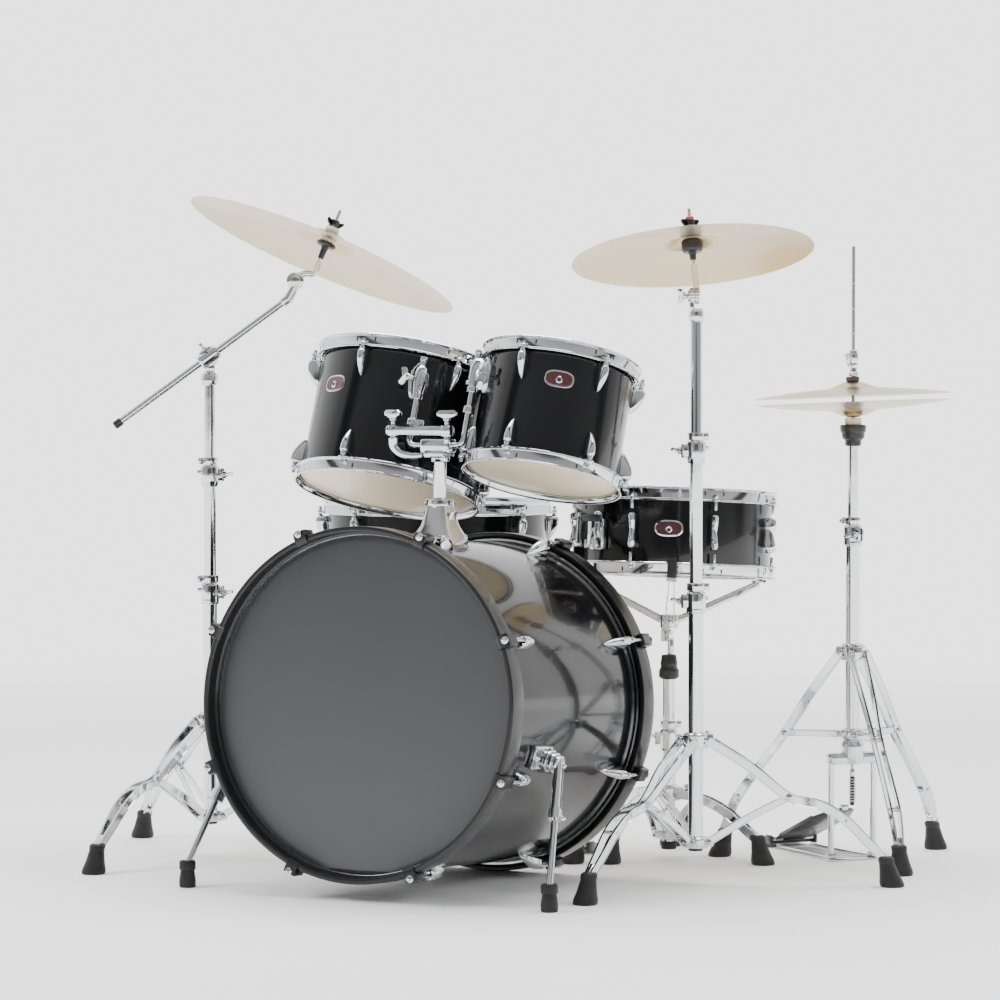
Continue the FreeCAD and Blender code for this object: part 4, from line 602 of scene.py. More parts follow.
def spur(side, sign):
    """A folding leg of the kick drum, with its casting on the shell."""
    angle = -15.8 if sign > 0 else 195.8
    base = spin(angle) @ move(0, 0, 117.0)
    bracket.add(block(10.0, 40.0, 58.0, 3.0), CAST, base, move(284.0, 0, 0))
    bracket.add(stud(17.0, 284.0, 306.0, 2.0, 36), CAST, base, spin(90, "Y"))
    bracket.add(stud(19.0, 299.0, 305.6, 1.0, 36), CHROME, base, spin(90, "Y"))
    for y in (-14, 14):
        for z in (-22, 22):
            bracket.add(stud(4.2, 288.0, 291.6, 0.8), STEEL, base, move(0, y, z), spin(90, "Y"))
    local = spin(90 - KICK_PITCH, "X") @ base
    spot = local @ Vector((312.0, 0, 0)) + Vector((0, 0, KICK_HEIGHT))
    axis = (local.to_3x3() @ Vector((1, 0, 0))).normalized()
    unit = place(*spot)
    leg = Piece(f"spur_{side}_leg", f"spur_{side}", unit, [f"spur_{side}"])
    foot = Vector((sign * 347.0, -228.0, 0.0)) - spot
    facing = aim(axis)
    leg.add(stud(17.0, -5.6, 3.0, 1.2, 36), CHROME, facing)
    leg.add(stud(15.0, 3.0, 12.0, 2.5, 36), CAST, facing)
    leg.add(stud(6.0, 12.0, 17.5, 0.8), STEEL, facing)
    leg.add(block(6, 6, 6, 0.8), CHROME, facing, move(0, 0, 19))
    knee = axis * 9
    ankle = foot + Vector((0, 0, 40))
    run = (ankle - knee)
    down = run.normalized()
    mid = knee + run * 0.42
    section = oblong(19.0, 15.0, 5.0)
    leg.add(sweep([knee - down * 10, knee + run * 0.2, mid], section, axis), CHROME)
    # Painted shade: a dark strip inside the chrome channel stands in for the shade between its two
    # flanges.
    leg.add(sweep([knee + down * 8, mid - down * 6], oblong(4.0, 17.0, 5.0), axis), BLACK_AND_PAINTED_SHADE)
    leg.add(sweep([mid - down * 10, mid + down * 8], oblong(22.0, 20.0, 4.0), axis), CHROME)
    leg.add(stud(4.0, 0, 15, 0.6), STEEL, facing_at(mid, axis))
    leg.add(block(6.0, 6.0, 6.0, 0.8), CHROME, facing_at(mid, axis), move(0, 0, 16.5))
    leg.add(tube([mid, mid + (ankle - mid) * 0.5, ankle], 5.6), CHROME)
    tip = [(0, 0), (12.5, 0), (14, 1.5), (14.4, 12), (12.2, 27), (11.8, 29), (14.0, 31), (14.2, 42),
        (12.6, 45.5), (6, 46), (0, 46)]
    leg.add(lathe(tip, 40), RUBBER, move(*foot))
    leg.make(35)


bracket = Piece("spur_castings", "frame", KICK, ["spur_brackets"])
kick_drum()
spur("right", 1)
spur("left", -1)
bracket.make(35)


# ---- shared hardware ------------------------------------------------------------------------------

def wing(piece, at, direction, length, span, turn=0.0, material=CHROME, height=12.0):
    """A wing bolt: stem, collar and a bow-tie grip."""
    frame_of = facing_at(at, direction) @ spin(turn)
    piece.add(stud(3.8, 0, length, 0.5), STEEL, frame_of)
    piece.add(stud(6.6, length - 4.5, length - 0.5, 1.0), material, frame_of)
    outline = [(span * x / 2, height * z) for x, z in (
        (-1.0, 0.45), (-0.92, 0.85), (-0.7, 1.0), (-0.35, 0.78), (0, 0.62), (0.35, 0.78), (0.7,
            1.0), (0.92, 0.85),
        (1.0, 0.45), (0.9, 0.14), (0.6, 0.02), (0.3, 0.0), (-0.3, 0.0), (-0.6, 0.02), (-0.9, 0.14))]
    piece.add(prism(outline, -3.0, 3.0, 1.6), material, frame_of, move(0, 0, length - 1), spin(90, "X"))


def key_bolt(piece, at, direction, length=7.0):
    """A square-headed drum-key bolt."""
    frame_of = facing_at(at, direction)
    piece.add(stud(4.4, -2, length - 5, 0.5), CHROME, frame_of)
    piece.add(block(5.4, 5.4, 6.0, 0.7), CHROME, frame_of, move(0, 0, length - 2.5), spin(30))


def joint_clamp(piece, radius, top, facing):
    """A tube clamp: split collar, bolt boss, wing bolt and key bolt."""
    r, height = 16.5, 34.0
    piece.add(turned([(radius, top - height), (radius + 2.2, top - height - 5),
        (radius + 4.0, top - height),
                            (r, top - height + 5), (r, top - 4), (r - 2.5, top), (radius,
                                top)], 1.4, 48), CHROME)
    turn = spin(facing)
    piece.add(block(17.0, 14.0, height - 12, 3.0), CHROME, turn, move(r - 1, 0, top - height / 2))
    # Painted shade: a thin dark sheet through the bolt boss stands in for the shade in the clamp's split.
    piece.add(block(18.0, 1.6, height - 11, 0.4), BLACK_AND_PAINTED_SHADE, turn, move(r + 0.2, 0, top - height / 2))
    spot = turn @ Vector((r + 4, -7, top - height / 2))
    wing(piece, spot, turn.to_3x3() @ Vector((0.25, -1, 0)), 13.0, 30.0, 12)
    key_bolt(piece, turn @ Vector((-r + 1, 0, top - height * 0.35)), turn.to_3x3() @ Vector((-1, 0, 0)))


def memory_lock(piece, radius, low, facing):
    """A thin collar on a tube, with its square-headed bolt."""
    piece.add(turned([(radius + 0.2, low), (radius + 4.5, low), (radius + 4.5, low + 13),
        (radius + 0.2, low + 13)], 1.4, 40, True), CHROME)
    turn = spin(facing)
    piece.add(block(11.0, 10.0, 12.0, 2.0), CHROME, turn, move(radius + 6.5, 0, low + 6.5))
    key_bolt(piece, turn @ Vector((radius + 8, 5, low + 6.5)), turn.to_3x3() @ Vector((0, 1, 0)), 7.5)


def bell(x, y, outward):
    """A rubber foot that leans with its leg, with a ribbed waist."""
    height, low, high, lean_out = 52.0, 21.0, 12.5, 13.0
    profile = [(0, 0), (low - 2.5, 0), (low - 0.5, 1.5), (low, 5.0), (low - 0.5, 9.0),
        (low * 0.80, height * 0.42), (high + 1.0, height * 0.75),
               (high + 0.8, height * 0.80), (high + 1.6, height * 0.84), (high + 1.4,
                   height * 0.95), (high - 1.5, height), (0, height)]
    points, faces = lathe(profile, 40)
    points[:, 0] -= points[:, 2] / height * lean_out
    feet.add((points, faces), RUBBER, move(x, y, 0) @ spin(outward))


def leg_strip(piece, path, turn, gap, width=14.0, metal=2.6):
    """One pressed steel strip on edge with a rolled bead along both edges."""
    w, t = width / 2, metal / 2
    section = [(-t, -w + 1), (-t - 1.0, -w + 0.2), (-t - 1.0, -w - 0.6), (t, -w - 0.6), (t, w + 0.6),
        (-t - 1.0, w + 0.6), (-t - 1.0, w - 0.2), (-t, w - 1)]
    if gap < 0:
        section = [(-a, b) for a, b in section][::-1]
    piece.add(sweep(path, section, (0, 0, 1)), CHROME, turn)


def tripod_hub(piece, z, turn, lower=False):
    """A collar on the base tube with the pivots of its three legs."""
    height = 20.0 if lower else 27.0
    top = z + height / 2
    piece.add(turned([(BASE_TUBE, z - height / 2), (21, z - height / 2), (22, top - 4), (17, top),
        (BASE_TUBE, top)], 2.0, 48), CHROME)
    for i in range(3):
        at = spin(turn + 120 * i)
        piece.add(block(22, 14, height - 5, 3.0), CHROME, at, move(20, 0, z))
        piece.add(stud(3.4, -16, 16, 0.6), STEEL, at, move(22, 0, z), spin(90, "X"))
        piece.add(stud(6.0, -14.5, 14.5, 0.8), CHROME, at, move(22, 0, z), spin(90, "X"))
    if not lower:
        wing(piece, spin(turn + 60) @ Vector((20, 0, z)), spin(turn + 60).to_3x3() @ Vector((1, 0, 0)),
            12.0, 28.0, 90)


feet = Piece("rubber_tips", "frame", place(0, 0, 0), ["rubber_feet"], "black_rubber")


def put_feet(base, turn, radius):
    """Three rubber feet round a stand."""
    for i in range(3):
        a = turn + 120 * i
        spot = spin(a) @ Vector((radius, 0, 0))
        bell(base[0] + spot.x, base[1] + spot.y, a)


def tall_stand(name, base, turn, legs_turn, joint_1, joint_2, facing):
    """Tripod base and middle tube of a cymbal stand."""
    frame_of = place(*base, spin(turn))
    low = Piece(name + "_tripod", "frame", frame_of, [name + "_base"])
    low.add(lathe([(BASE_BORE, 64), (BASE_TUBE, 64), (BASE_TUBE, joint_1), (BASE_BORE, joint_1)], 48),
        CHROME)
    low.add(stud(12.4, 58, 64, 1.5, 36), RUBBER)
    tripod_hub(low, 247, legs_turn)
    tripod_hub(low, 73, legs_turn, True)
    path = [(22, 247), (92, 203), (159, 151), (212, 138), (256, 112), (292, 76), (322, 46)]
    splay = [15.0, 12.5, 5.5, 9.0, 9.5, 7.0, 4.5]
    tripod_legs(low, legs_turn, path, splay, 73, 2)
    joint_clamp(low, BASE_TUBE, joint_1, facing)
    memory_lock(low, MIDDLE_TUBE, joint_1 + 1.0, facing + 180)
    low.make(40)
    body = "boom_middle_tube" if name.startswith("boom") else "crash_middle_tube"
    middle = Piece(name + "_middle_pipe", body, frame_of, [name + "_middle_tube"])
    middle.add(lathe([(MIDDLE_BORE, joint_1 - 150), (MIDDLE_TUBE, joint_1 - 150), (MIDDLE_TUBE, joint_2),
        (MIDDLE_BORE, joint_2)], 48), CHROME)
    joint_clamp(middle, MIDDLE_TUBE, joint_2, facing)
    memory_lock(middle, UPPER_TUBE, joint_2 + 1.0, facing + 180)
    middle.make(40)
    put_feet(base, turn + legs_turn, 335)
    return frame_of


def tripod_legs(piece, turn, profile, splay, hub_low, rivet):
    """Three legs, each of two strips, with the braces that meet them at one point of the profile."""
    for i in range(3):
        at = spin(turn + 120 * i)
        r, z = profile[rivet]
        for side in (-1, 1):
            path = flow([(a, side * s, b) for (a, b), s in zip(profile, splay)], 5)
            leg_strip(piece, path, at, side)
            low = [(22.0, side * 9.0, hub_low), (r * 0.55, side * 8.0, hub_low + (z - hub_low) * 0.52),
                (r, side * 3.2, z)]
            leg_strip(piece, flow(low, 6), at, side, 11.0, 2.0)
        half = splay[rivet] + 3.0
        piece.add(stud(6.2, -half, half, 0.8), CHROME, at, move(r, 0, z), spin(90, "X"))
        piece.add(stud(3.2, -half - 2.2, half + 2.2, 0.6), STEEL, at, move(r, 0, z), spin(90, "X"))
        r, z = profile[-3]
        half = splay[-3] + 1.5
        piece.add(stud(3.2, -half, half, 0.5), STEEL, at, move(r, 0, z), spin(90, "X"))
        r, z = profile[-1]
        piece.add(block(30, 10.0, 15, 3.0), CHROME, at, move(r - 4, 0, z + 5), spin(45, "Y"))


def cymbal(name, where, radius, height, bell_radius, side=1):
    """A cymbal about its rim plane: bow, bell and hole, with a thin turned edge."""
    edge = height * 0.50
    bow = []
    for i in range(25):
        t = i / 24
        r = radius + (bell_radius * 1.12 - radius) * t
        u = (radius - r) / (radius - bell_radius * 1.12)
        bow.append((r, edge * (u ** 0.92 * 0.55 + 0.45 * math.sin(u * math.pi / 2))))
    for i in range(1, 21):
        t = i / 20
        r = max(bell_radius * 1.12 * (1 - t), 6.5)
        bow.append((r, edge + (height - edge) * (0.5 - 0.5 * math.cos(math.pi * min(1.0,
            t * 1.06) ** 0.92))))
    upper = [(r, z + 0.9 * min(1.0, (radius - r) / 20)) for r, z in bow]
    lower = [(r, max(0.0, z - 0.5 * min(1.0, (radius - r) / 20))) for r, z in bow]
    outline = [(radius - 0.1, 0.0)] + upper + lower[::-1]
    piece = Piece(name + "_plate", name, where, [name], "cymbal_brass")
    piece.add(lathe([(r, z * side) for r, z in outline], 160, True), BRONZE)
    piece.make(28)


def fittings(piece, where, top, seat, seat_height, accent=None):
    """Cup, sleeve, felts and wing nut of a cymbal, about its rim plane centre."""
    piece.add(stud(3.0, -18, top + 42, 0.4, 16), STEEL, where)
    piece.add(turned([(0, -7), (5.2, -7), (6.2, seat - seat_height - 3), (7.5, seat - seat_height),
        (0, seat - seat_height)], 1.0, 28), PLASTIC, where)
    piece.add(turned([(3, seat - seat_height), (15, seat - seat_height), (18, seat - seat_height + 4),
        (18, seat - 3), (16, seat), (3, seat)], 1.5, 40), PLASTIC, where)
    piece.add(turned([(3.2, seat), (12.6, seat), (13, top - 3), (12, top - 1.8), (3.2, top - 1.8)], 1.8,
        32), FELT, where)
    piece.add(turned([(3.2, top + 0.5), (12.4, top + 0.5), (13, top + 7), (11.8, top + 8),
        (3.2, top + 8)], 1.8, 32), FELT, where)
    piece.add(turned([(0, top + 8), (10.5, top + 8), (10.5, top + 10.5), (7.0, top + 12), (8.2, top + 21),
        (6.5, top + 23), (0, top + 23)], 1.0, 28), PLASTIC, where)
    outline = [(-17, 8), (-16, 12), (-9, 9), (0, 6), (9, 9), (16, 12), (17, 8), (12, 1), (6, 0), (-6, 0),
        (-12, 1)]
    piece.add(prism(outline, -3.2, 3.2, 1.6), PLASTIC, where, move(0, 0, top + 11), spin(25),
        spin(90, "X"))
    if accent:
        piece.add(turned([(0, top + 22), (7.4, top + 22), (7.4, top + 26), (5.5, top + 28),
            (0, top + 28)], 0.8, 24), accent, where)


# ---- tom holder -------------------------------------------------------------------------------------

POST = Vector((27.0, -18.0, 0.0))
ARM_LEVEL = 750.0
RACK_TOMS = (("high", HIGH_AT, HIGH_TOM, HIGH_R, -135.6, 1), ("mid", MID_AT, MID_TOM, MID_R, -52.0, -1))


def arm_line(centre, reach, angle):
    """Top of a tom's upright arm, and the point where it bends to the level leg."""
    turn = TOM_LEAN.to_3x3()
    top = Vector(centre) + turn @ Vector((reach * math.cos(math.radians(angle)),
        reach * math.sin(math.radians(angle)), 88))
    down = turn @ Vector((0, 0, -1))
    return top, top + down * ((top.z - ARM_LEVEL) / -down.z)


def tom_holder():
    here = place(0, 0, 0)
    x, y = POST.x, POST.y
    base = Piece("tom_mount_casting", "frame", here, ["tom_mount_base"])

    def seat(px, py):
        return math.sqrt(max(0.0, 280.2 ** 2 - px * px)) + KICK_HEIGHT + py * KICK_SLOPE

    rings = []
    for f, w in ((0.0, 42.0), (0.06, 42.0), (0.16, 39.0), (0.45, 28.0), (0.8, 21.5), (1.0, 19.5)):
        ring = []
        for dx, dy in oblong(2 * w, 2 * w * (0.86 + 0.14 * f), 5.0, 40):
            foot = seat(x + dx, y + dy) - 0.6
            ring.append((x + dx, y + dy, foot + (648.0 - foot) * f))
        rings.append(ring)
    base.add(stack(rings), CAST)
    for sx in (-1, 1):
        for sy in (-1, 1):
            spot = Vector((x + sx * 31, y + sy * 27, seat(x + sx * 31, y + sy * 27) + 8))
            screw = facing_at(spot, (sx * 0.5, sy * 0.45, 0.9))
            base.add(stud(6.2, -4, 4, 1.0), CHROME, screw)
            base.add(stud(3.4, 3, 6.5, 0.8), STEEL, screw)
    for s in (-1, 1):
        base.add(block(4, 24, 34, 1.8), CAST, move(x + s * 21.5, y, 622), spin(s * 18, "Y"))
    base.add(turned([(11.4, 640), (19.5, 640), (20, 646), (20, 658), (18, 660.5), (11.4, 660.5)], 1.8,
        48), CHROME, move(x, y, 0))
    for s in (-1, 1):
        base.add(stud(4.6, 15, 25, 1.0), BLACK_AND_PAINTED_SHADE, move(x, y, 653), spin(90 * s, "Y"))
        base.add(stud(6.2, 22, 27, 1.0), CHROME, move(x, y, 653), spin(90 * s, "Y"))
    base.make(35)

    post = Piece("tom_post_head", "tom_post", here, ["tom_post"])
    post.add(lathe([(0, 500), (10.4, 500), (11, 501), (11, 737), (0, 737)], 48), CHROME, move(x, y, 0))
    post.add(turned([(11, 722), (15, 722), (17, 728), (17, 738), (11, 742)], 1.5, 48), CHROME,
        move(x, y, 0))
    level = ARM_LEVEL
    post.add(block(56, 34, 26, 6.0), CAST, move(x, y - 6, level - 1))
    post.add(block(40, 40, 14, 4.0), CAST, move(x, y - 4, level - 14))
    post.add(block(126, 19, 17, 4.5), CHROME, move(x - 25, y - 25, level + 25.5))
    post.add(block(74, 20.5, 11, 1.5), CAST, move(x - 32, y - 25, level + 25.5))
    for s in (-1, 1):
        stem = move(x - 25 + s * 52, y - 25, level + 25)
        post.add(stud(10.5, -9.5, 9.5, 2.0, 36), CHROME, stem)
        post.add(stud(4.0, 9, 20, 0.6), STEEL, stem)
        post.add(stud(6.4, 17, 21, 1.0), CHROME, stem)
        outline = [(-17, 6), (-17.5, 11), (-13, 15), (-5, 15.5), (5, 15.5), (13, 15), (17.5, 11), (17, 6),
            (10, 2.5), (5, 0), (-5, 0), (-10, 2.5)]
        post.add(prism(outline, -5.0, 5.0, 2.6), CHROME, stem, move(0, 0, 20), spin(14 * s),
            spin(90, "X"))
        post.add(stud(5.2, -21, -9, 0.8), CHROME, stem)
    hook = flow([(x - 77, y - 25, level + 12), (x - 76, y - 25, level - 2), (x - 64, y - 25, level - 13),
                 (x - 44, y - 24, level - 18), (x - 24, y - 20, level - 17)], 6)
    post.add(sweep(hook, oblong(17.0, 10.0, 3.0, 20), (0, 1, 0),
        [1.0 - 0.45 * i / (len(hook) - 1) for i in range(len(hook))]), CHROME)
    post.make(35)

    for side, centre, _, radius, angle, sign in RACK_TOMS:
        top, bend = arm_line(centre, radius + 20.0, angle)
        up = (top - bend).normalized()
        start = Vector((x + sign * 10, bend.y, bend.z))
        path = soften([start, bend, top], 13.0, 8)
        arm = Piece(f"{side}_tom_bent_arm", f"{side}_tom_arm", here, [f"{side}_tom_arm"])
        arm.add(tube(path, 5.25, 24), CHROME)
        arm.add(stud(6.6, -4, 4, 2.0), CHROME, facing_at(top - up * 2, up))
        lift, around = (62, -60) if side == "high" else (40, 200)
        lock = facing_at(bend + up * lift, up)
        arm.add(turned([(5.2, -6), (10, -6), (10, 6), (5.2, 6)], 1.4, 32), CHROME, lock)
        arm.add(block(17, 13, 12, 2.5), CHROME, lock, spin(around), move(12, 0, 0))
        arm.add(stud(4.2, -8.5, 8.5, 0.8), STEEL, lock, spin(around), move(13, 0, 0), spin(90, "X"))
        arm.make(35)

    for side, _, where, r, angle, sign in RACK_TOMS:
        piece = Piece(f"{side}_tom_clamp", f"{side}_tom", where, [f"{side}_tom_bracket"])
        at = spin(angle)
        plate = [(48 + z * 0.92, w, d) for z, w,
            d in ((-34, 7, 5), (-30, 12, 7), (-18, 16, 9), (0, 18, 10), (18, 16.5, 9), (30, 11, 7),
            (38, 5, 5), (41, 2.5, 3.5))]
        piece.add(swell(plate, 0.5, 16, r - 1.0, r), CAST, at)
        body = [(48 + z, w, d - 4) for z, w,
            d in ((-27, 8, 22), (-25, 10, 27), (-10, 12.5, 30.5), (8, 13.5, 31), (20, 12, 29),
            (26, 9, 25), (28, 5, 20))]
        piece.add(swell(body, 0.55, 16, r + 2, r + 4), CHROME, at)
        piece.add(turned([(5.6, 14), (9.4, 14), (9.8, 24), (5.6, 24)], 1.0, 32), CHROME, at,
            move(r + 20, 0, 0))
        for z in (30, 66):
            piece.add(stud(3.6, r + 28, r + 33, 0.8), STEEL, at, move(0, 0, z), spin(90, "Y"))
        wing(piece, at @ Vector((r + 20, 13 * sign, 50)), at.to_3x3() @ Vector((0.1, sign, 0)), 12.0,
            32.0, 78, height=13.0)
        piece.make()


tom_holder()


# ---- floor tom's legs -------------------------------------------------------------------------------

def floor_legs():
    brackets = Piece("floor_tom_clamps", "floor_tom", FLOOR_TOM, ["floor_tom_leg_brackets"])
    legs = Piece("floor_tom_bent_legs", "frame", place(FLOOR_X, FLOOR_Y, 0.0), ["floor_tom_legs"])
    leg_r, foot_r, lock = 227.2, 257.2, -45
    for angle in (52.5, 187.5, 322.5):
        at = spin(angle)
        rows = ((-30, 9, 10), (-28, 14, 22), (-20, 17, 31), (0, 17.5, 34), (20, 17, 31), (28, 14, 22),
            (30, 9, 10))
        brackets.add(swell(rows, 0.6, 16, 202, FLOOR_R), CHROME, at)
        wing(brackets, at @ Vector((232, 0, 8)), at.to_3x3() @ Vector((1, 0, 0)), 3.0, 24.0, 90,
            height=8.0)
        path = soften([(leg_r, 0, 469), (leg_r, 0, 112), (foot_r, 0, 42)], 26.0, 8)
        legs.add(tube(path, 5.5, 24), CHROME, at)
        brackets.add(turned([(5.7, lock), (10, lock), (10, lock + 12), (5.7, lock + 12)], 1.2, 32, True),
            CHROME, at, move(leg_r, 0, 0))
        key_bolt(brackets, at @ Vector((236, 0, lock + 6)), at.to_3x3() @ Vector((1, 0, 0)), 8)
        foot = at @ Vector((foot_r, 0, 0))
        bell(FLOOR_X + foot.x, FLOOR_Y + foot.y, angle)
    brackets.make()
    legs.make()


floor_legs()


# ---- cymbal stands ----------------------------------------------------------------------------------

def toothed_disc(piece, where, radius, low, high):
    """Half of a tilter's toothed joint."""
    outline = []
    for i in range(48):
        a = 2 * math.pi * i / 48
        r = radius - (0.7 if i % 2 else 0.0)
        outline.append((r * math.cos(a), r * math.sin(a)))
    piece.add(prism(outline, low, high, 1.0), CHROME, where)


def boom_stand():
    base, turn = (-560.8, 184.7, 0.0), 28.4
    unit = tall_stand("boom_stand", base, turn, -3.7, 493.0, 705.0, 10)
    pivot = 900.0
    upper = Piece("boom_upper_pipe", "boom_upper_tube", unit, ["boom_upper_tube"])
    upper.add(lathe([(0, 555), (UPPER_TUBE, 555), (UPPER_TUBE, 862), (0, 862)], 48), CHROME)
    upper.add(turned([(9.5, 848), (15, 850), (16, 858), (14, 868), (9, 874), (0, 874)], 2.0, 48), CHROME)
    upper.add(block(18, 9, 36, 3.0), CHROME, move(0, 8, pivot - 20))
    across = move(0, 0, pivot) @ spin(-90, "X")
    toothed_disc(upper, across, 17.0, 3.2, 9.0)
    upper.add(stud(13.0, 8.5, 13.5, 2.0, 36), CAST, across)
    wing(upper, (0, 12.5, pivot), (0, 1, 0), 9.0, 30.0, 20)
    upper.make(35)

    slope = math.radians(36.1)
    along = Vector((math.cos(slope), 0, math.sin(slope)))
    centre = Vector((0, -10.0, pivot))
    tilter = Piece("boom_tilter_head", "boom_tilter", unit, ["boom_tilter"])
    toothed_disc(tilter, across, 17.0, -3.2, 2.6)
    sleeve = facing_at(centre, along)
    tilter.add(turned([(6.6, -20), (11.5, -20), (13, -16), (13, 16), (11.5, 20), (6.6, 20)], 1.5, 40,
        True), CHROME, sleeve)
    tilter.add(block(16, 14, 26, 3.0), CHROME, sleeve, move(0, 9, 0))
    wing(tilter, centre + Vector((-along.z, 0, along.x)) * 11, (-along.z, 0, along.x), 8.0, 28.0, 0)
    tilter.make(35)

    hinge = Vector((154.8, -10.0, 1036.0))
    rear, front = centre - along * 205, centre + along * 176
    arm = Piece("boom_arm_pipe", "boom_arm", unit, ["boom_arm"])
    arm.add(tube([rear, front], 6.3, 28), CHROME)
    arm.add(tube([rear - along * 6, rear - along * 4, rear + along * 9, rear + along * 10],
        [5.5, 7.4, 7.4, 6.4], 28), PLASTIC)
    for k in range(11):
        spot = rear + along * (26 + 11 * k)
        arm.add(lathe([(6.25, -0.6), (6.55, -0.3), (6.55, 0.3), (6.25, 0.6)], 28), STEEL,
            facing_at(spot, along))
    arm.add(tube([front - along * 14, front - along * 8, front, hinge + Vector((0, -3, -10))],
        [6.4, 9.2, 9.2, 8.0], 28), CHROME)
    eye = move(*hinge) @ spin(-90, "X")
    toothed_disc(arm, eye, 16.0, -8.2, -0.6)
    arm.add(stud(10.5, -11.0, -7.5, 2.0, 36), CAST, eye)
    arm.make(35)

    rim = lean(0.377, 0.145)
    top = (rim.to_3x3() @ Vector((0, 0, 1))).normalized()
    side = (Vector((1, 0, 0)) - top * top.x).normalized()
    spot = hinge + side * 26.0 + top * 61.5
    tilt = Piece("ride_tilter_neck", "ride_tilter", unit, ["ride_tilter"])
    toothed_disc(tilt, eye, 16.0, 0.2, 7.6)
    wing(tilt, hinge + Vector((0, 7.0, 0)), (0, 1, 0), 7.5, 28.0, 35)
    neck = flow([hinge + Vector((2, 4, 4)), hinge + side * 10 + top * 18, spot - top * 36,
        spot - top * 14], 6)
    tilt.add(tube(neck, [7.0 - 2.0 * i / (len(neck) - 1) for i in range(len(neck))], 24), CHROME)
    fittings(tilt, move(*spot) @ rim, 46.0, 25.0, 9.0)
    tilt.make()
    cymbal("ride_cymbal", unit @ move(*(spot * 0.001)) @ rim, 254.0, 46.0, 62.0)


def straight_stand():
    base, turn = (396.0, 214.4, 0.0), 28.4
    unit = tall_stand("straight_stand", base, turn, -5.4, 501.0, 757.0, 190)
    pivot = 1003.0
    upper = Piece("straight_upper_pipe", "crash_upper_tube", unit, ["straight_upper_tube"])
    upper.add(lathe([(0, 607), (UPPER_TUBE, 607), (UPPER_TUBE, pivot - 30), (8.5, pivot - 26),
        (0, pivot - 24)], 48), CHROME)
    upper.add(turned([(9.5, pivot - 44), (12.5, pivot - 42), (12.5, pivot - 26), (9, pivot - 21),
        (0, pivot - 21)], 1.5, 40), CHROME)
    upper.add(block(8, 15, 34, 2.5), CHROME, move(-7.6, 0, pivot - 18))
    across = move(0, 0, pivot) @ spin(-90, "Y")
    toothed_disc(upper, across, 14.0, 3.2, 11.5)
    upper.add(stud(10.5, 11.0, 14.5, 1.5, 36), CAST, across)
    wing(upper, (-13, 0, pivot), (-1, 0, 0), 10.0, 26.0, 80, height=11.0)
    upper.make(35)
    rim = lean(-0.074, 0.230)
    top = (rim.to_3x3() @ Vector((0, 0, 1))).normalized()
    spot = Vector((0, 0, pivot)) + top * 70.0
    tilt = Piece("crash_tilter_neck", "crash_tilter", unit, ["crash_tilter"])
    toothed_disc(tilt, across, 14.0, -5.2, 2.5)
    tilt.add(tube([Vector((1.2, 0, pivot)) + top * 4, Vector((1.2, 0, pivot)) + top * 22, spot - top * 24,
        spot - top * 14],
                  [6.2, 5.4, 5.0, 5.0], 24), CHROME)
    fittings(tilt, move(*spot) @ rim, 42.0, 29.0, 22.0, RED)
    tilt.make()
    cymbal("crash_cymbal", unit @ move(*(spot * 0.001)) @ rim, 207.0, 42.0, 50.0)


boom_stand()
straight_stand()


# ---- snare drum's fittings and stand ------------------------------------------------------------------

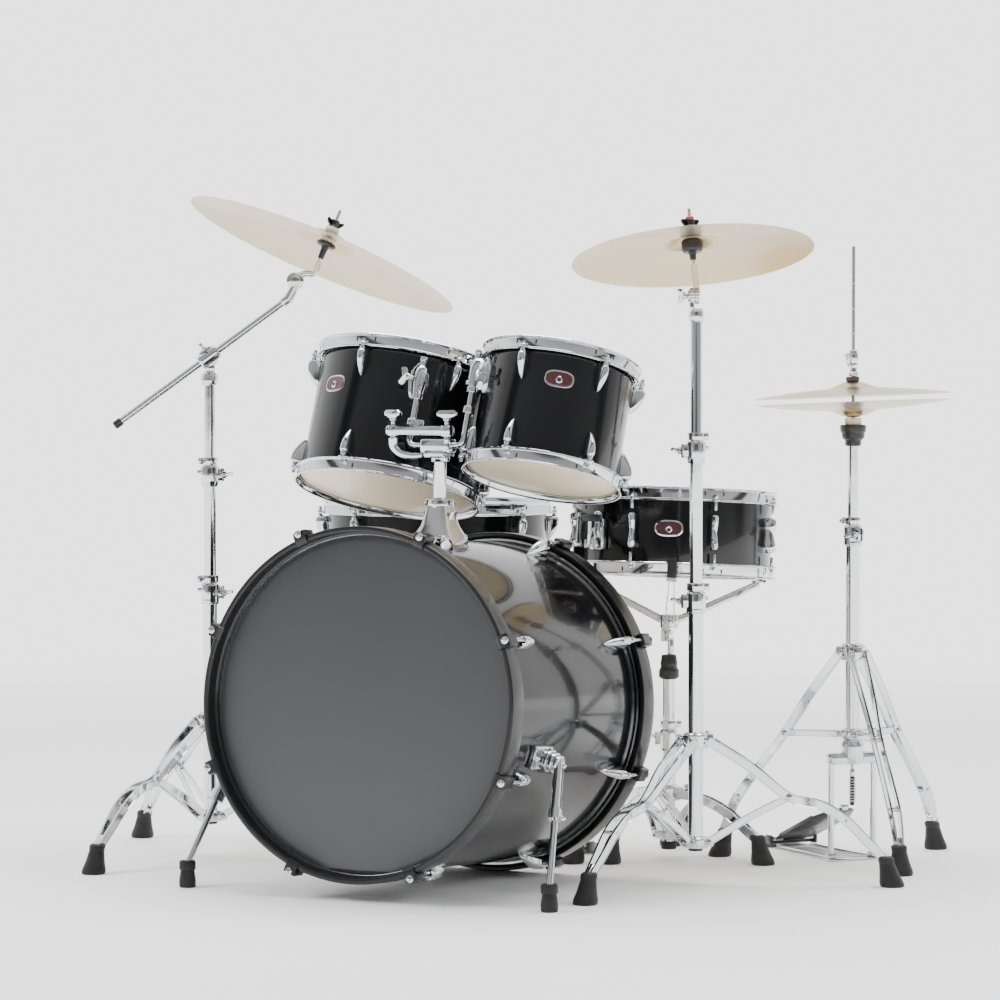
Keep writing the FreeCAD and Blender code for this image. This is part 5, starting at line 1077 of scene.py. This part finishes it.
def snare_unit():
    throw = SNARE @ spin(-108.5)
    r = SNARE_R
    wires = Piece("snare_wire_strands", "snare_drum", throw, ["snare_wires"], "steel_wire")
    for i in range(20):
        y = (i - 9.5) * 2.1
        path = [(x, y + 0.35 * math.sin(x * 0.4 + i),
            -69.0 + 0.25 * math.cos(x * 0.4 + i)) for x in np.linspace(-150, 150, 90)]
        wires.add(tube(path, 0.55, 6), STEEL)
    for s in (-1, 1):
        wires.add(block(14, 42, 1.3, 0.3), CHROME, move(s * 157, 0, -69.0))
    wires.make(60)
    body = Piece("snare_throw_off", "snare_drum", throw, ["snare_strainer"])
    body.add(block(15, 32, 56, 4.0), CHROME, move(r + 8.2, 0, -8))
    body.add(block(8, 20, 30, 2.5), CAST, move(r + 16, 0, 0))
    for s in (-1, 1):
        body.add(block(13, 3.6, 15, 1.2), CHROME, move(r + 21, s * 13, -26))
        body.add(block(11, 34, 38, 3.0), CHROME, move(-r - 6.2, 0, -12))
        body.add(stud(3.2, 0, 3, 0.6), STEEL, move(-r - 11, s * 9, -6), spin(-90, "Y"))
    body.add(turned([(0, 0), (8, 0), (8, 10), (6.5, 12), (0, 12)], 1.0, 28), CHROME, move(r + 8, 0, 20))
    body.make(35)
    lever = Piece("snare_lever_grip", "throw_off_lever", throw, ["snare_lever"])
    lever.add(stud(2.3, -16, 16, 0.4), STEEL, move(r + 24, 0, -26), spin(90, "X"))
    lever.add(block(4.6, 18, 44, 1.6), CHROME, move(r + 24, 0, -6))
    lever.add(block(6, 45, 13, 2.6), PLASTIC, move(r + 26, 0, 20))
    lever.make(35)

    drop = (SNARE_HEIGHT - SNARE_PIVOT) / math.sqrt(1 - SNARE_LEAN ** 2)
    below, rim = -66.5 - 11.5 - 0.4, r + 10.9 + 0.5
    basket = Piece("snare_basket_arms", "snare_drum", SNARE, ["snare_basket"])
    basket.add(stud(16.5, -drop + 12.8, -drop + 38, 3.0, 40), CAST)
    basket.add(block(9, 19, 26, 2.5), CHROME, move(-8, 0, -drop + 1.5))
    for i in range(3):
        at = spin(-63.5 + 120 * i)
        low, high = (12.0, 0, -drop + 26.5), (rim - 7, 0, below - 7)
        for s in (-1, 1):
            a, b = (low[0], s * 7.0, low[2]), (high[0], s * 4.2, high[2])
            basket.add(sweep([a, (np.array(a) + b) / 2 + (0, s * 1.0, 0), b], oblong(2.4, 11.0, 5.0, 16)),
                CHROME, at)
        basket.add(stud(3.2, -9, 9, 0.6), STEEL, at, move(high[0] - 4, 0, high[2]), spin(90, "X"))
        basket.add(stud(3.2, -10, 10, 0.6), STEEL, at, move(low[0] + 6, 0, low[2] + 4), spin(90, "X"))
        basket.add(block(22, 16, 5, 1.6), CHROME, at, move(rim - 5, 0, below - 2.5))
        basket.add(block(7, 17, 38, 2.6), RUBBER, at, move(rim + 3.7, 0, below + 14.5))
        for z in (2, 8, 14, 20, 26):
            basket.add(block(1.6, 16, 2.2, 0.5), RUBBER, at, move(rim + 7.0, 0, below + z + 2))
    basket.make(35)


def snare_stand():
    base, pivot = (181.5, 548.0, 0.0), SNARE_PIVOT
    unit = place(*base)
    low = Piece("snare_tripod", "frame", unit, ["snare_stand_base"])
    low.add(lathe([(BASE_BORE, 30), (BASE_TUBE, 30), (BASE_TUBE, 232), (BASE_BORE, 232)], 48), CHROME)
    low.add(turned([(0, 16), (13, 16), (14, 19), (13.5, 30), (12.6, 31), (0, 31)], 1.2, 36), RUBBER)
    tripod_hub(low, 118, -5)
    tripod_hub(low, 45, -5, True)
    profile = [(20, 118), (62, 112), (104, 98), (140, 76), (180, 46)]
    tripod_legs(low, -5, profile, [12.0, 8.0, 7.5, 7.0, 4.5], 45, 1)
    joint_clamp(low, BASE_TUBE, 232, 190)
    memory_lock(low, MIDDLE_TUBE, 234.0, 40)
    low.make(40)
    put_feet(base, -5, 196)
    upper = Piece("snare_upper_pipe", "snare_stand_tube", unit, ["snare_stand_tube"])
    upper.add(lathe([(MIDDLE_BORE, 90), (MIDDLE_TUBE, 90), (MIDDLE_TUBE, pivot - 60), (0, pivot - 60)],
        48), CHROME)
    nut = [(0, pivot - 78), (14, pivot - 78), (18, pivot - 74), (18, pivot - 62), (14.5, pivot - 56),
        (15.5, pivot - 50), (13, pivot - 34), (0, pivot - 34)]
    upper.add(turned(nut, 2.0, 40), PLASTIC)
    for i in range(12):
        upper.add(block(2.4, 3.4, 13, 0.9), PLASTIC, spin(30 * i), move(17.0, 0, pivot - 68))
    upper.add(stud(6.0, pivot - 36, pivot - 6, 0.8, 28), CHROME, move(3.5, 0, 0))
    toothed_disc(upper, move(0, 0, pivot) @ spin(90, "Y"), 11.0, -2.8, 4.8)
    upper.make()


snare_unit()
snare_stand()


# ---- hi-hat -------------------------------------------------------------------------------------------

def coil(radius, wire, low, high, turns):
    """A coil spring round Z."""
    path = []
    for i in range(int(turns * 14) + 1):
        a = 2 * math.pi * i / 14
        path.append((radius * math.cos(a), radius * math.sin(a), low + (high - low) * i / (turns * 14)))
    return tube(path, wire, 8)


def pedal_board(piece, heel_x, toe_x, toe_z, width, heel_z=18.0):
    """A footboard: tapered plate with ribs across it, raised rims and its hinge barrel."""
    length = math.hypot(heel_x - toe_x, toe_z - heel_z)
    slope = math.degrees(math.atan2(toe_z - heel_z, heel_x - toe_x))
    at = move(heel_x, 0, heel_z) @ spin(slope, "Y")
    half = width / 2
    outline = [(0, -half * 0.86), (-length * 0.3, -half * 0.95), (-length * 0.72, -half * 0.95),
        (-length * 0.95, -half * 0.55), (-length + 2, -half * 0.25),
               (-length + 2, half * 0.25), (-length * 0.95, half * 0.55), (-length * 0.72,
                   half * 0.95), (-length * 0.3, half * 0.95), (0, half * 0.86)]
    piece.add(prism(outline, -2.6, 1.6, 1.0), BLACK_AND_PAINTED_SHADE, at)
    for i in range(9):
        x = -length * (0.10 + 0.085 * i)
        w = width * (0.80 if i < 8 else 0.6)
        piece.add(block(5.0, w, 2.4, 0.9), BLACK_AND_PAINTED_SHADE, at, move(x, 0, 2.0))
    for s in (-1, 1):
        piece.add(block(length * 0.62, 3.0, 4.4, 1.0), BLACK_AND_PAINTED_SHADE, at,
            move(-length * 0.42, s * half * 0.92, 1.4))
    piece.add(stud(4.5, -half + 1, half - 1, 0.8, 24), CHROME, move(heel_x, 0, heel_z), spin(90, "X"))
    piece.add(stud(5.5, -half * 0.5, half * 0.5, 0.8, 24), BLACK_AND_PAINTED_SHADE, move(heel_x, 0, heel_z), spin(90, "X"))


def heel_plate(piece):
    """The ribbed plate behind a footboard and the two ears of its hinge."""
    for s in (-1, 1):
        piece.add(block(22, 5.4, 18, 2.0), BLACK_AND_PAINTED_SHADE, move(228, s * 46.5, 15))
    piece.add(block(66, 98, 6, 2.4), BLACK_AND_PAINTED_SHADE, move(264, 0, 10))
    for i in range(4):
        piece.add(block(4, 66, 1.8, 0.6), BLACK_AND_PAINTED_SHADE, move(246 + i * 12, 0, 13.6))


def hi_hat():
    base, turn = (484.5, 674.5, 0.0), 143.0
    unit = place(*base, spin(turn))
    low = Piece("hihat_tripod", "frame", unit, ["hihat_base"])
    low.add(lathe([(9.8, 200), (12.7, 200), (12.7, 600), (9.8, 600)], 48), CHROME)
    joint_clamp(low, BASE_TUBE, 600, 190)
    memory_lock(low, UPPER_TUBE, 601.0, 30)
    low.add(turned([(12.7, 356), (19, 358), (22, 364), (22, 382), (18, 388), (12.7, 388)], 2.0, 48),
        CHROME)
    low.add(turned([(12.7, 217), (22, 218), (23, 222), (23, 231), (21, 235), (12.7, 235)], 1.6, 48),
        CHROME)
    for i in range(3):
        at = spin(-68.6 + 120 * i)
        for side in (-1, 1):
            path = flow([(22, side * 13, 372), (74, side * 10.5, 300), (122, side * 6.5, 226),
                (170, side * 7.0, 162), (212, side * 7.5, 102), (232, side * 4.5, 50)], 6)
            leg_strip(low, path, at, side)
            leg_strip(low, [(20, side * 6.0, 226), (70, side * 6.0, 226), (122, side * 5.0, 226)], at,
                side, 10.0, 2.0)
        low.add(block(20, 15, 22, 3.0), CHROME, at, move(20, 0, 372))
        for r, z, half in ((22, 372, 16), (122, 226, 11), (22, 226, 11), (206, 112, 10)):
            low.add(stud(5.4, -half + 1.5, half - 1.5, 0.8), CHROME, at, move(r, 0, z), spin(90, "X"))
            low.add(stud(3.0, -half - 1, half + 1, 0.5), STEEL, at, move(r, 0, z), spin(90, "X"))
        low.add(block(26, 10.0, 16, 3.0), CHROME, at, move(229, 0, 52), spin(60, "Y"))
    low.add(turned([(9.8, 172), (19, 174), (21, 182), (21, 206), (17, 216), (12.7, 218)], 2.0, 40), CAST)
    low.add(block(24, 98, 20, 5.0), CAST, move(0, 0, 183))
    for s in (-1, 1):
        low.add(tube(soften([(0, s * 43, 176), (0, s * 43, 4)], 4), 5.6, 20), CHROME)
        low.add(block(16, 15, 10, 3.0), CAST, move(0, s * 43, 9))
        low.add(tube(soften([(4, s * 40, 5), (60, s * 35, 4.6), (216, s * 34, 4.6)], 20), 3.0, 16),
            CHROME)
    low.add(block(30, 100, 3.8, 1.2), CHROME, move(0, 0, 2.1))
    heel_plate(low)
    low.make(40)
    put_feet(base, turn - 68.6, 242)

    board = Piece("hihat_pedal_board", "hihat_footboard", unit, ["hihat_footboard"], "black_casting")
    pedal_board(board, 222.0, 26.0, 90.0, 84.0)
    board.add(block(12, 14, 10, 2.0), CHROME, move(30, 0, 92))
    board.make()

    upper = Piece("hihat_upper_pipe", "hihat_upper_tube", unit, ["hihat_upper_tube"])
    upper.add(lathe([(4.6, 450), (9.5, 450), (9.5, 742), (4.6, 742)], 48, True), CHROME)
    cup = [(4.6, 741), (13.5, 741), (14.5, 744), (14.5, 751), (18.5, 754), (20.5, 758), (20.5, 764),
        (23, 767), (23.5, 777), (21, 779), (4.6, 779)]
    upper.add(turned(cup, 1.5, 40, True), PLASTIC)
    wing(upper, (19.5, 0, 759), (1, 0, 0), 5.0, 16.0, 90, PLASTIC, 6.0)
    upper.add(turned([(4.7, 779), (14.5, 779), (15, 782), (14.4, 791), (4.7, 791)], 1.6, 32, True), FELT)
    upper.make()

    rim = lean(0.036, 0.025)
    rod = Piece("hihat_rod_clutch", "hihat_rod", unit, ["hihat_rod_and_clutch"])
    rod.add(stud(3.2, 140, 1097, 1.0, 20), STEEL)
    rod.add(stud(5.0, 150, 163, 1.0), CHROME)
    rod.add(coil(6.0, 1.0, 104, 148, 9), STEEL)
    rod.add(stud(4.0, 98, 150, 1.0), BLACK_AND_PAINTED_SHADE)
    high = move(0, 0, 829.7) @ rim
    rod.add(turned([(3.2, 10), (8, 10), (8, 16), (3.2, 16)], 0.8, 24, True), CHROME, high)
    rod.add(turned([(3.3, 16), (11.5, 16), (12, 18), (12, 23), (11, 24.2), (3.3, 24.2)], 1.2, 32, True),
        DARK_FELT, high)
    rod.add(turned([(3.3, 26.6), (11.5, 26.6), (12, 28), (12, 34), (11, 35), (3.3, 35)], 1.2, 32, True),
        DARK_FELT, high)
    rod.add(turned([(3.2, 865), (9.5, 866), (9.5, 871), (6.5, 873), (6.5, 886), (9, 888), (9, 903),
        (7, 912), (3.2, 912)], 1.0, 32, True), CHROME)
    rod.add(block(13, 12, 14, 2.5), CHROME, move(8, 0, 895))
    wing(rod, (9, 0, 895), (1, 0, 0), 7.0, 26.0, 70, height=10.0)
    for z in (941, 985, 1030):
        rod.add(lathe([(3.15, -0.5), (3.4, -0.2), (3.4, 0.2), (3.15, 0.5)], 20), STEEL, move(0, 0, z))
    rod.make()
    for name, level, side in (("hihat_top_cymbal", 829.7, 1), ("hihat_bottom_cymbal", 819.0, -1)):
        cymbal(name, place(base[0], base[1], level, spin(turn) @ rim), 178.0, 26.0, 46.0, side)


# ---- kick pedal ---------------------------------------------------------------------------------------

def kick_pedal():
    unit = place(-12.0, 300.0, 0.0, spin(90))
    axle = 215.0
    body = Piece("pedal_posts_plate", "frame", unit, ["pedal_frame"])
    for s in (-1, 1):
        rings = []
        for z, w, d in ((4, 34, 8), (20, 22, 8), (90, 15, 7.6), (180, 14, 7.6), (200, 20, 8),
                (222, 17, 8)):
            rings.append([(a, s * 50 + b, z) for a, b in oblong(w * 0.7, d, 5.0, 24)])
        body.add(stack(rings), CAST)
        body.add(stud(9.5, -4.6, 4.6, 1.2, 32), CHROME, move(0, s * 50, axle), spin(90, "X"))
    body.add(block(258, 60, 3.8, 1.4), BLACK_AND_PAINTED_SHADE, move(103, 0, 2.1))
    body.add(block(20, 106, 8, 2.4), CAST, move(0, 0, 8))
    body.add(block(30, 40, 8, 2.0), CAST, move(-50, 0, 17))
    body.add(block(8, 40, 17, 2.0), CAST, move(-31, 0, 12.5))
    body.add(block(28, 30, 6, 1.6), CAST, move(-18, 0, 7))
    wing(body, (-22, 0, 21), (0.2, 0, 1), 7.0, 26.0, 0, height=10.0)
    heel_plate(body)
    body.make()
    board = Piece("pedal_board", "pedal_footboard", unit, ["pedal_footboard"], "black_casting")
    pedal_board(board, 222.0, 20.0, 104.0, 84.0)
    board.add(block(12, 14, 10, 2.0), CHROME, move(24, 0, 105))
    board.make()
    rest = math.radians(25.0)
    pivot, axis = Vector((0, 0, axle)), Vector((math.sin(rest), 0, math.cos(rest)))
    flat = Vector((math.cos(rest), 0, -math.sin(rest)))
    beater = Piece("pedal_beater_felt", "pedal_beater", unit, ["pedal_beater"])
    beater.add(stud(4.9, -58, 58, 0.8, 24), CHROME, move(0, 0, axle), spin(90, "X"))
    beater.add(stud(12.5, -11, 11, 2.0, 32), CAST, move(0, 0, axle), spin(90, "X"))
    beater.add(tube([pivot - axis * 22, pivot + axis * 188], 4.0, 20), CHROME)
    beater.add(block(16, 18, 14, 3.0), CHROME, facing_at(pivot + axis * 14, axis))
    head = facing_at(pivot + axis * 190, flat)
    beater.add(stud(23.8, -16.6, -4.0, 3.0, 40), FELT, head)
    beater.add(stud(22.5, -4.4, 4.4, 0.8, 40), PLASTIC, head)
    beater.add(stud(23.8, 4.0, 16.6, 3.0, 40), PLASTIC, head)
    beater.make()


hi_hat()
kick_pedal()
feet.make(35)


# ---- studio ---------------------------------------------------------------------------------------------

def softbox(name, where, target, width, height, power, seen=True):
    data = bpy.data.lights.new(name, "AREA")
    data.shape = "RECTANGLE"
    data.size, data.size_y, data.energy = width, height, power
    item = bpy.data.objects.new(name, data)
    item.location = where
    item.rotation_euler = (Vector(target) - Vector(where)).to_track_quat("-Z", "Y").to_euler()
    item.visible_glossy = seen
    item.visible_camera = False
    bpy.context.scene.collection.objects.link(item)


PALE = 2.7
PANELS = ((0.03, 0.07), (0.10, 0.26), (0.36, 0.36), (0.42, 0.05), (0.47, 0.05), (0.52, 0.60), (0.72, 1.0))


def studio():
    """Soft panels for reflections, a pale ground for the camera and a floor that fades into it."""
    world = bpy.data.worlds.new("studio")
    bpy.context.scene.world = world
    world.use_nodes = True
    tree = world.node_tree
    link, room = tree.links.new, tree.nodes["Background"]
    toward = node(tree, "VectorMath")
    toward.operation = "DOT_PRODUCT"
    toward.inputs[1].default_value = (-0.46, 0.85, 0.26)
    across = node(tree, "MapRange", From_Min=-1.0, From_Max=1.0)
    panels = node(tree, "ValToRGB")
    ramp = panels.color_ramp
    ramp.interpolation = "EASE"
    ramp.elements[0].position, ramp.elements[0].color = 0.0, (0.05, 0.05, 0.0505, 1)
    for position, level in PANELS:
        stop = ramp.elements.new(position)
        stop.color = (level, level, level * 1.01, 1)
    ramp.elements.remove(ramp.elements[len(ramp.elements) - 1])
    link(node(tree, "TexCoord").outputs["Generated"], toward.inputs[0])
    link(toward.outputs["Value"], across.inputs["Value"])
    link(across.outputs["Result"], panels.inputs["Fac"])
    link(panels.outputs["Color"], room.inputs["Color"])
    room.inputs["Strength"].default_value = 1.7
    backdrop = node(tree, "Background", Color=(1, 1, 1, 1), Strength=PALE)
    mix = node(tree, "MixShader")
    link(node(tree, "LightPath").outputs["Is Camera Ray"], mix.inputs["Fac"])
    link(room.outputs["Background"], mix.inputs[1])
    link(backdrop.outputs["Background"], mix.inputs[2])
    link(mix.outputs["Shader"], tree.nodes["World Output"].inputs["Surface"])

    n = 40.0
    mesh = bpy.data.meshes.new("studio_floor")
    mesh.from_pydata([(-n, -n, 0), (n, -n, 0), (n, n, 0), (-n, n, 0)], [], [[0, 1, 2, 3]])
    floor = bpy.data.objects.new("studio_floor", mesh)
    white = finish("studio_white", (0.93, 0.93, 0.93), 0.0, 0.7)
    tree = white.node_tree
    link = tree.links.new
    distance, fade = node(tree, "VectorMath"), node(tree, "MapRange", From_Min=1.4, From_Max=5.5)
    distance.operation, fade.interpolation_type = "LENGTH", "SMOOTHSTEP"
    glow, mix = node(tree, "Emission", Strength=PALE), node(tree, "MixShader")
    link(node(tree, "TexCoord").outputs["Object"], distance.inputs[0])
    link(distance.outputs["Value"], fade.inputs["Value"])
    link(fade.outputs["Result"], mix.inputs["Fac"])
    link(tree.nodes["Principled BSDF"].outputs["BSDF"], mix.inputs[1])
    link(glow.outputs["Emission"], mix.inputs[2])
    link(mix.outputs["Shader"], tree.nodes["Material Output"].inputs["Surface"])
    floor.data.materials.append(white)
    bpy.context.scene.collection.objects.link(floor)
    softbox("key", (-2.9, -3.2, 3.3), (0, 0, 0.6), 2.2, 1.8, 190, False)
    softbox("fill", (4.3, -1.2, 2.2), (0.1, 0, 0.6), 0.9, 2.6, 90, False)
    softbox("bounce", (0.1, -0.95, 0.06), (0.1, -0.9, 2.0), 2.0, 0.9, 24, False)
    softbox("top", (0.1, 0.6, 4.2), (0, 0, 0.5), 3.6, 2.4, 260)


def camera():
    data = bpy.data.cameras.new("photo_camera")
    data.lens, data.sensor_width = 155.4, 36.0
    item = bpy.data.objects.new("photo_camera", data)
    item.location = (Vector((3592.7, -6401.0, 896.4)) - KIT_CENTRE) * 0.001
    pitch = math.radians(1.873)
    ahead = Vector((-0.4755 * math.cos(pitch), 0.8797 * math.cos(pitch), -math.sin(pitch)))
    item.rotation_euler = ahead.to_track_quat("-Z", "Y").to_euler()
    data.clip_end = 100
    bpy.context.scene.collection.objects.link(item)
    bpy.context.scene.camera = item


studio()
camera()
bpy.context.view_layer.update()
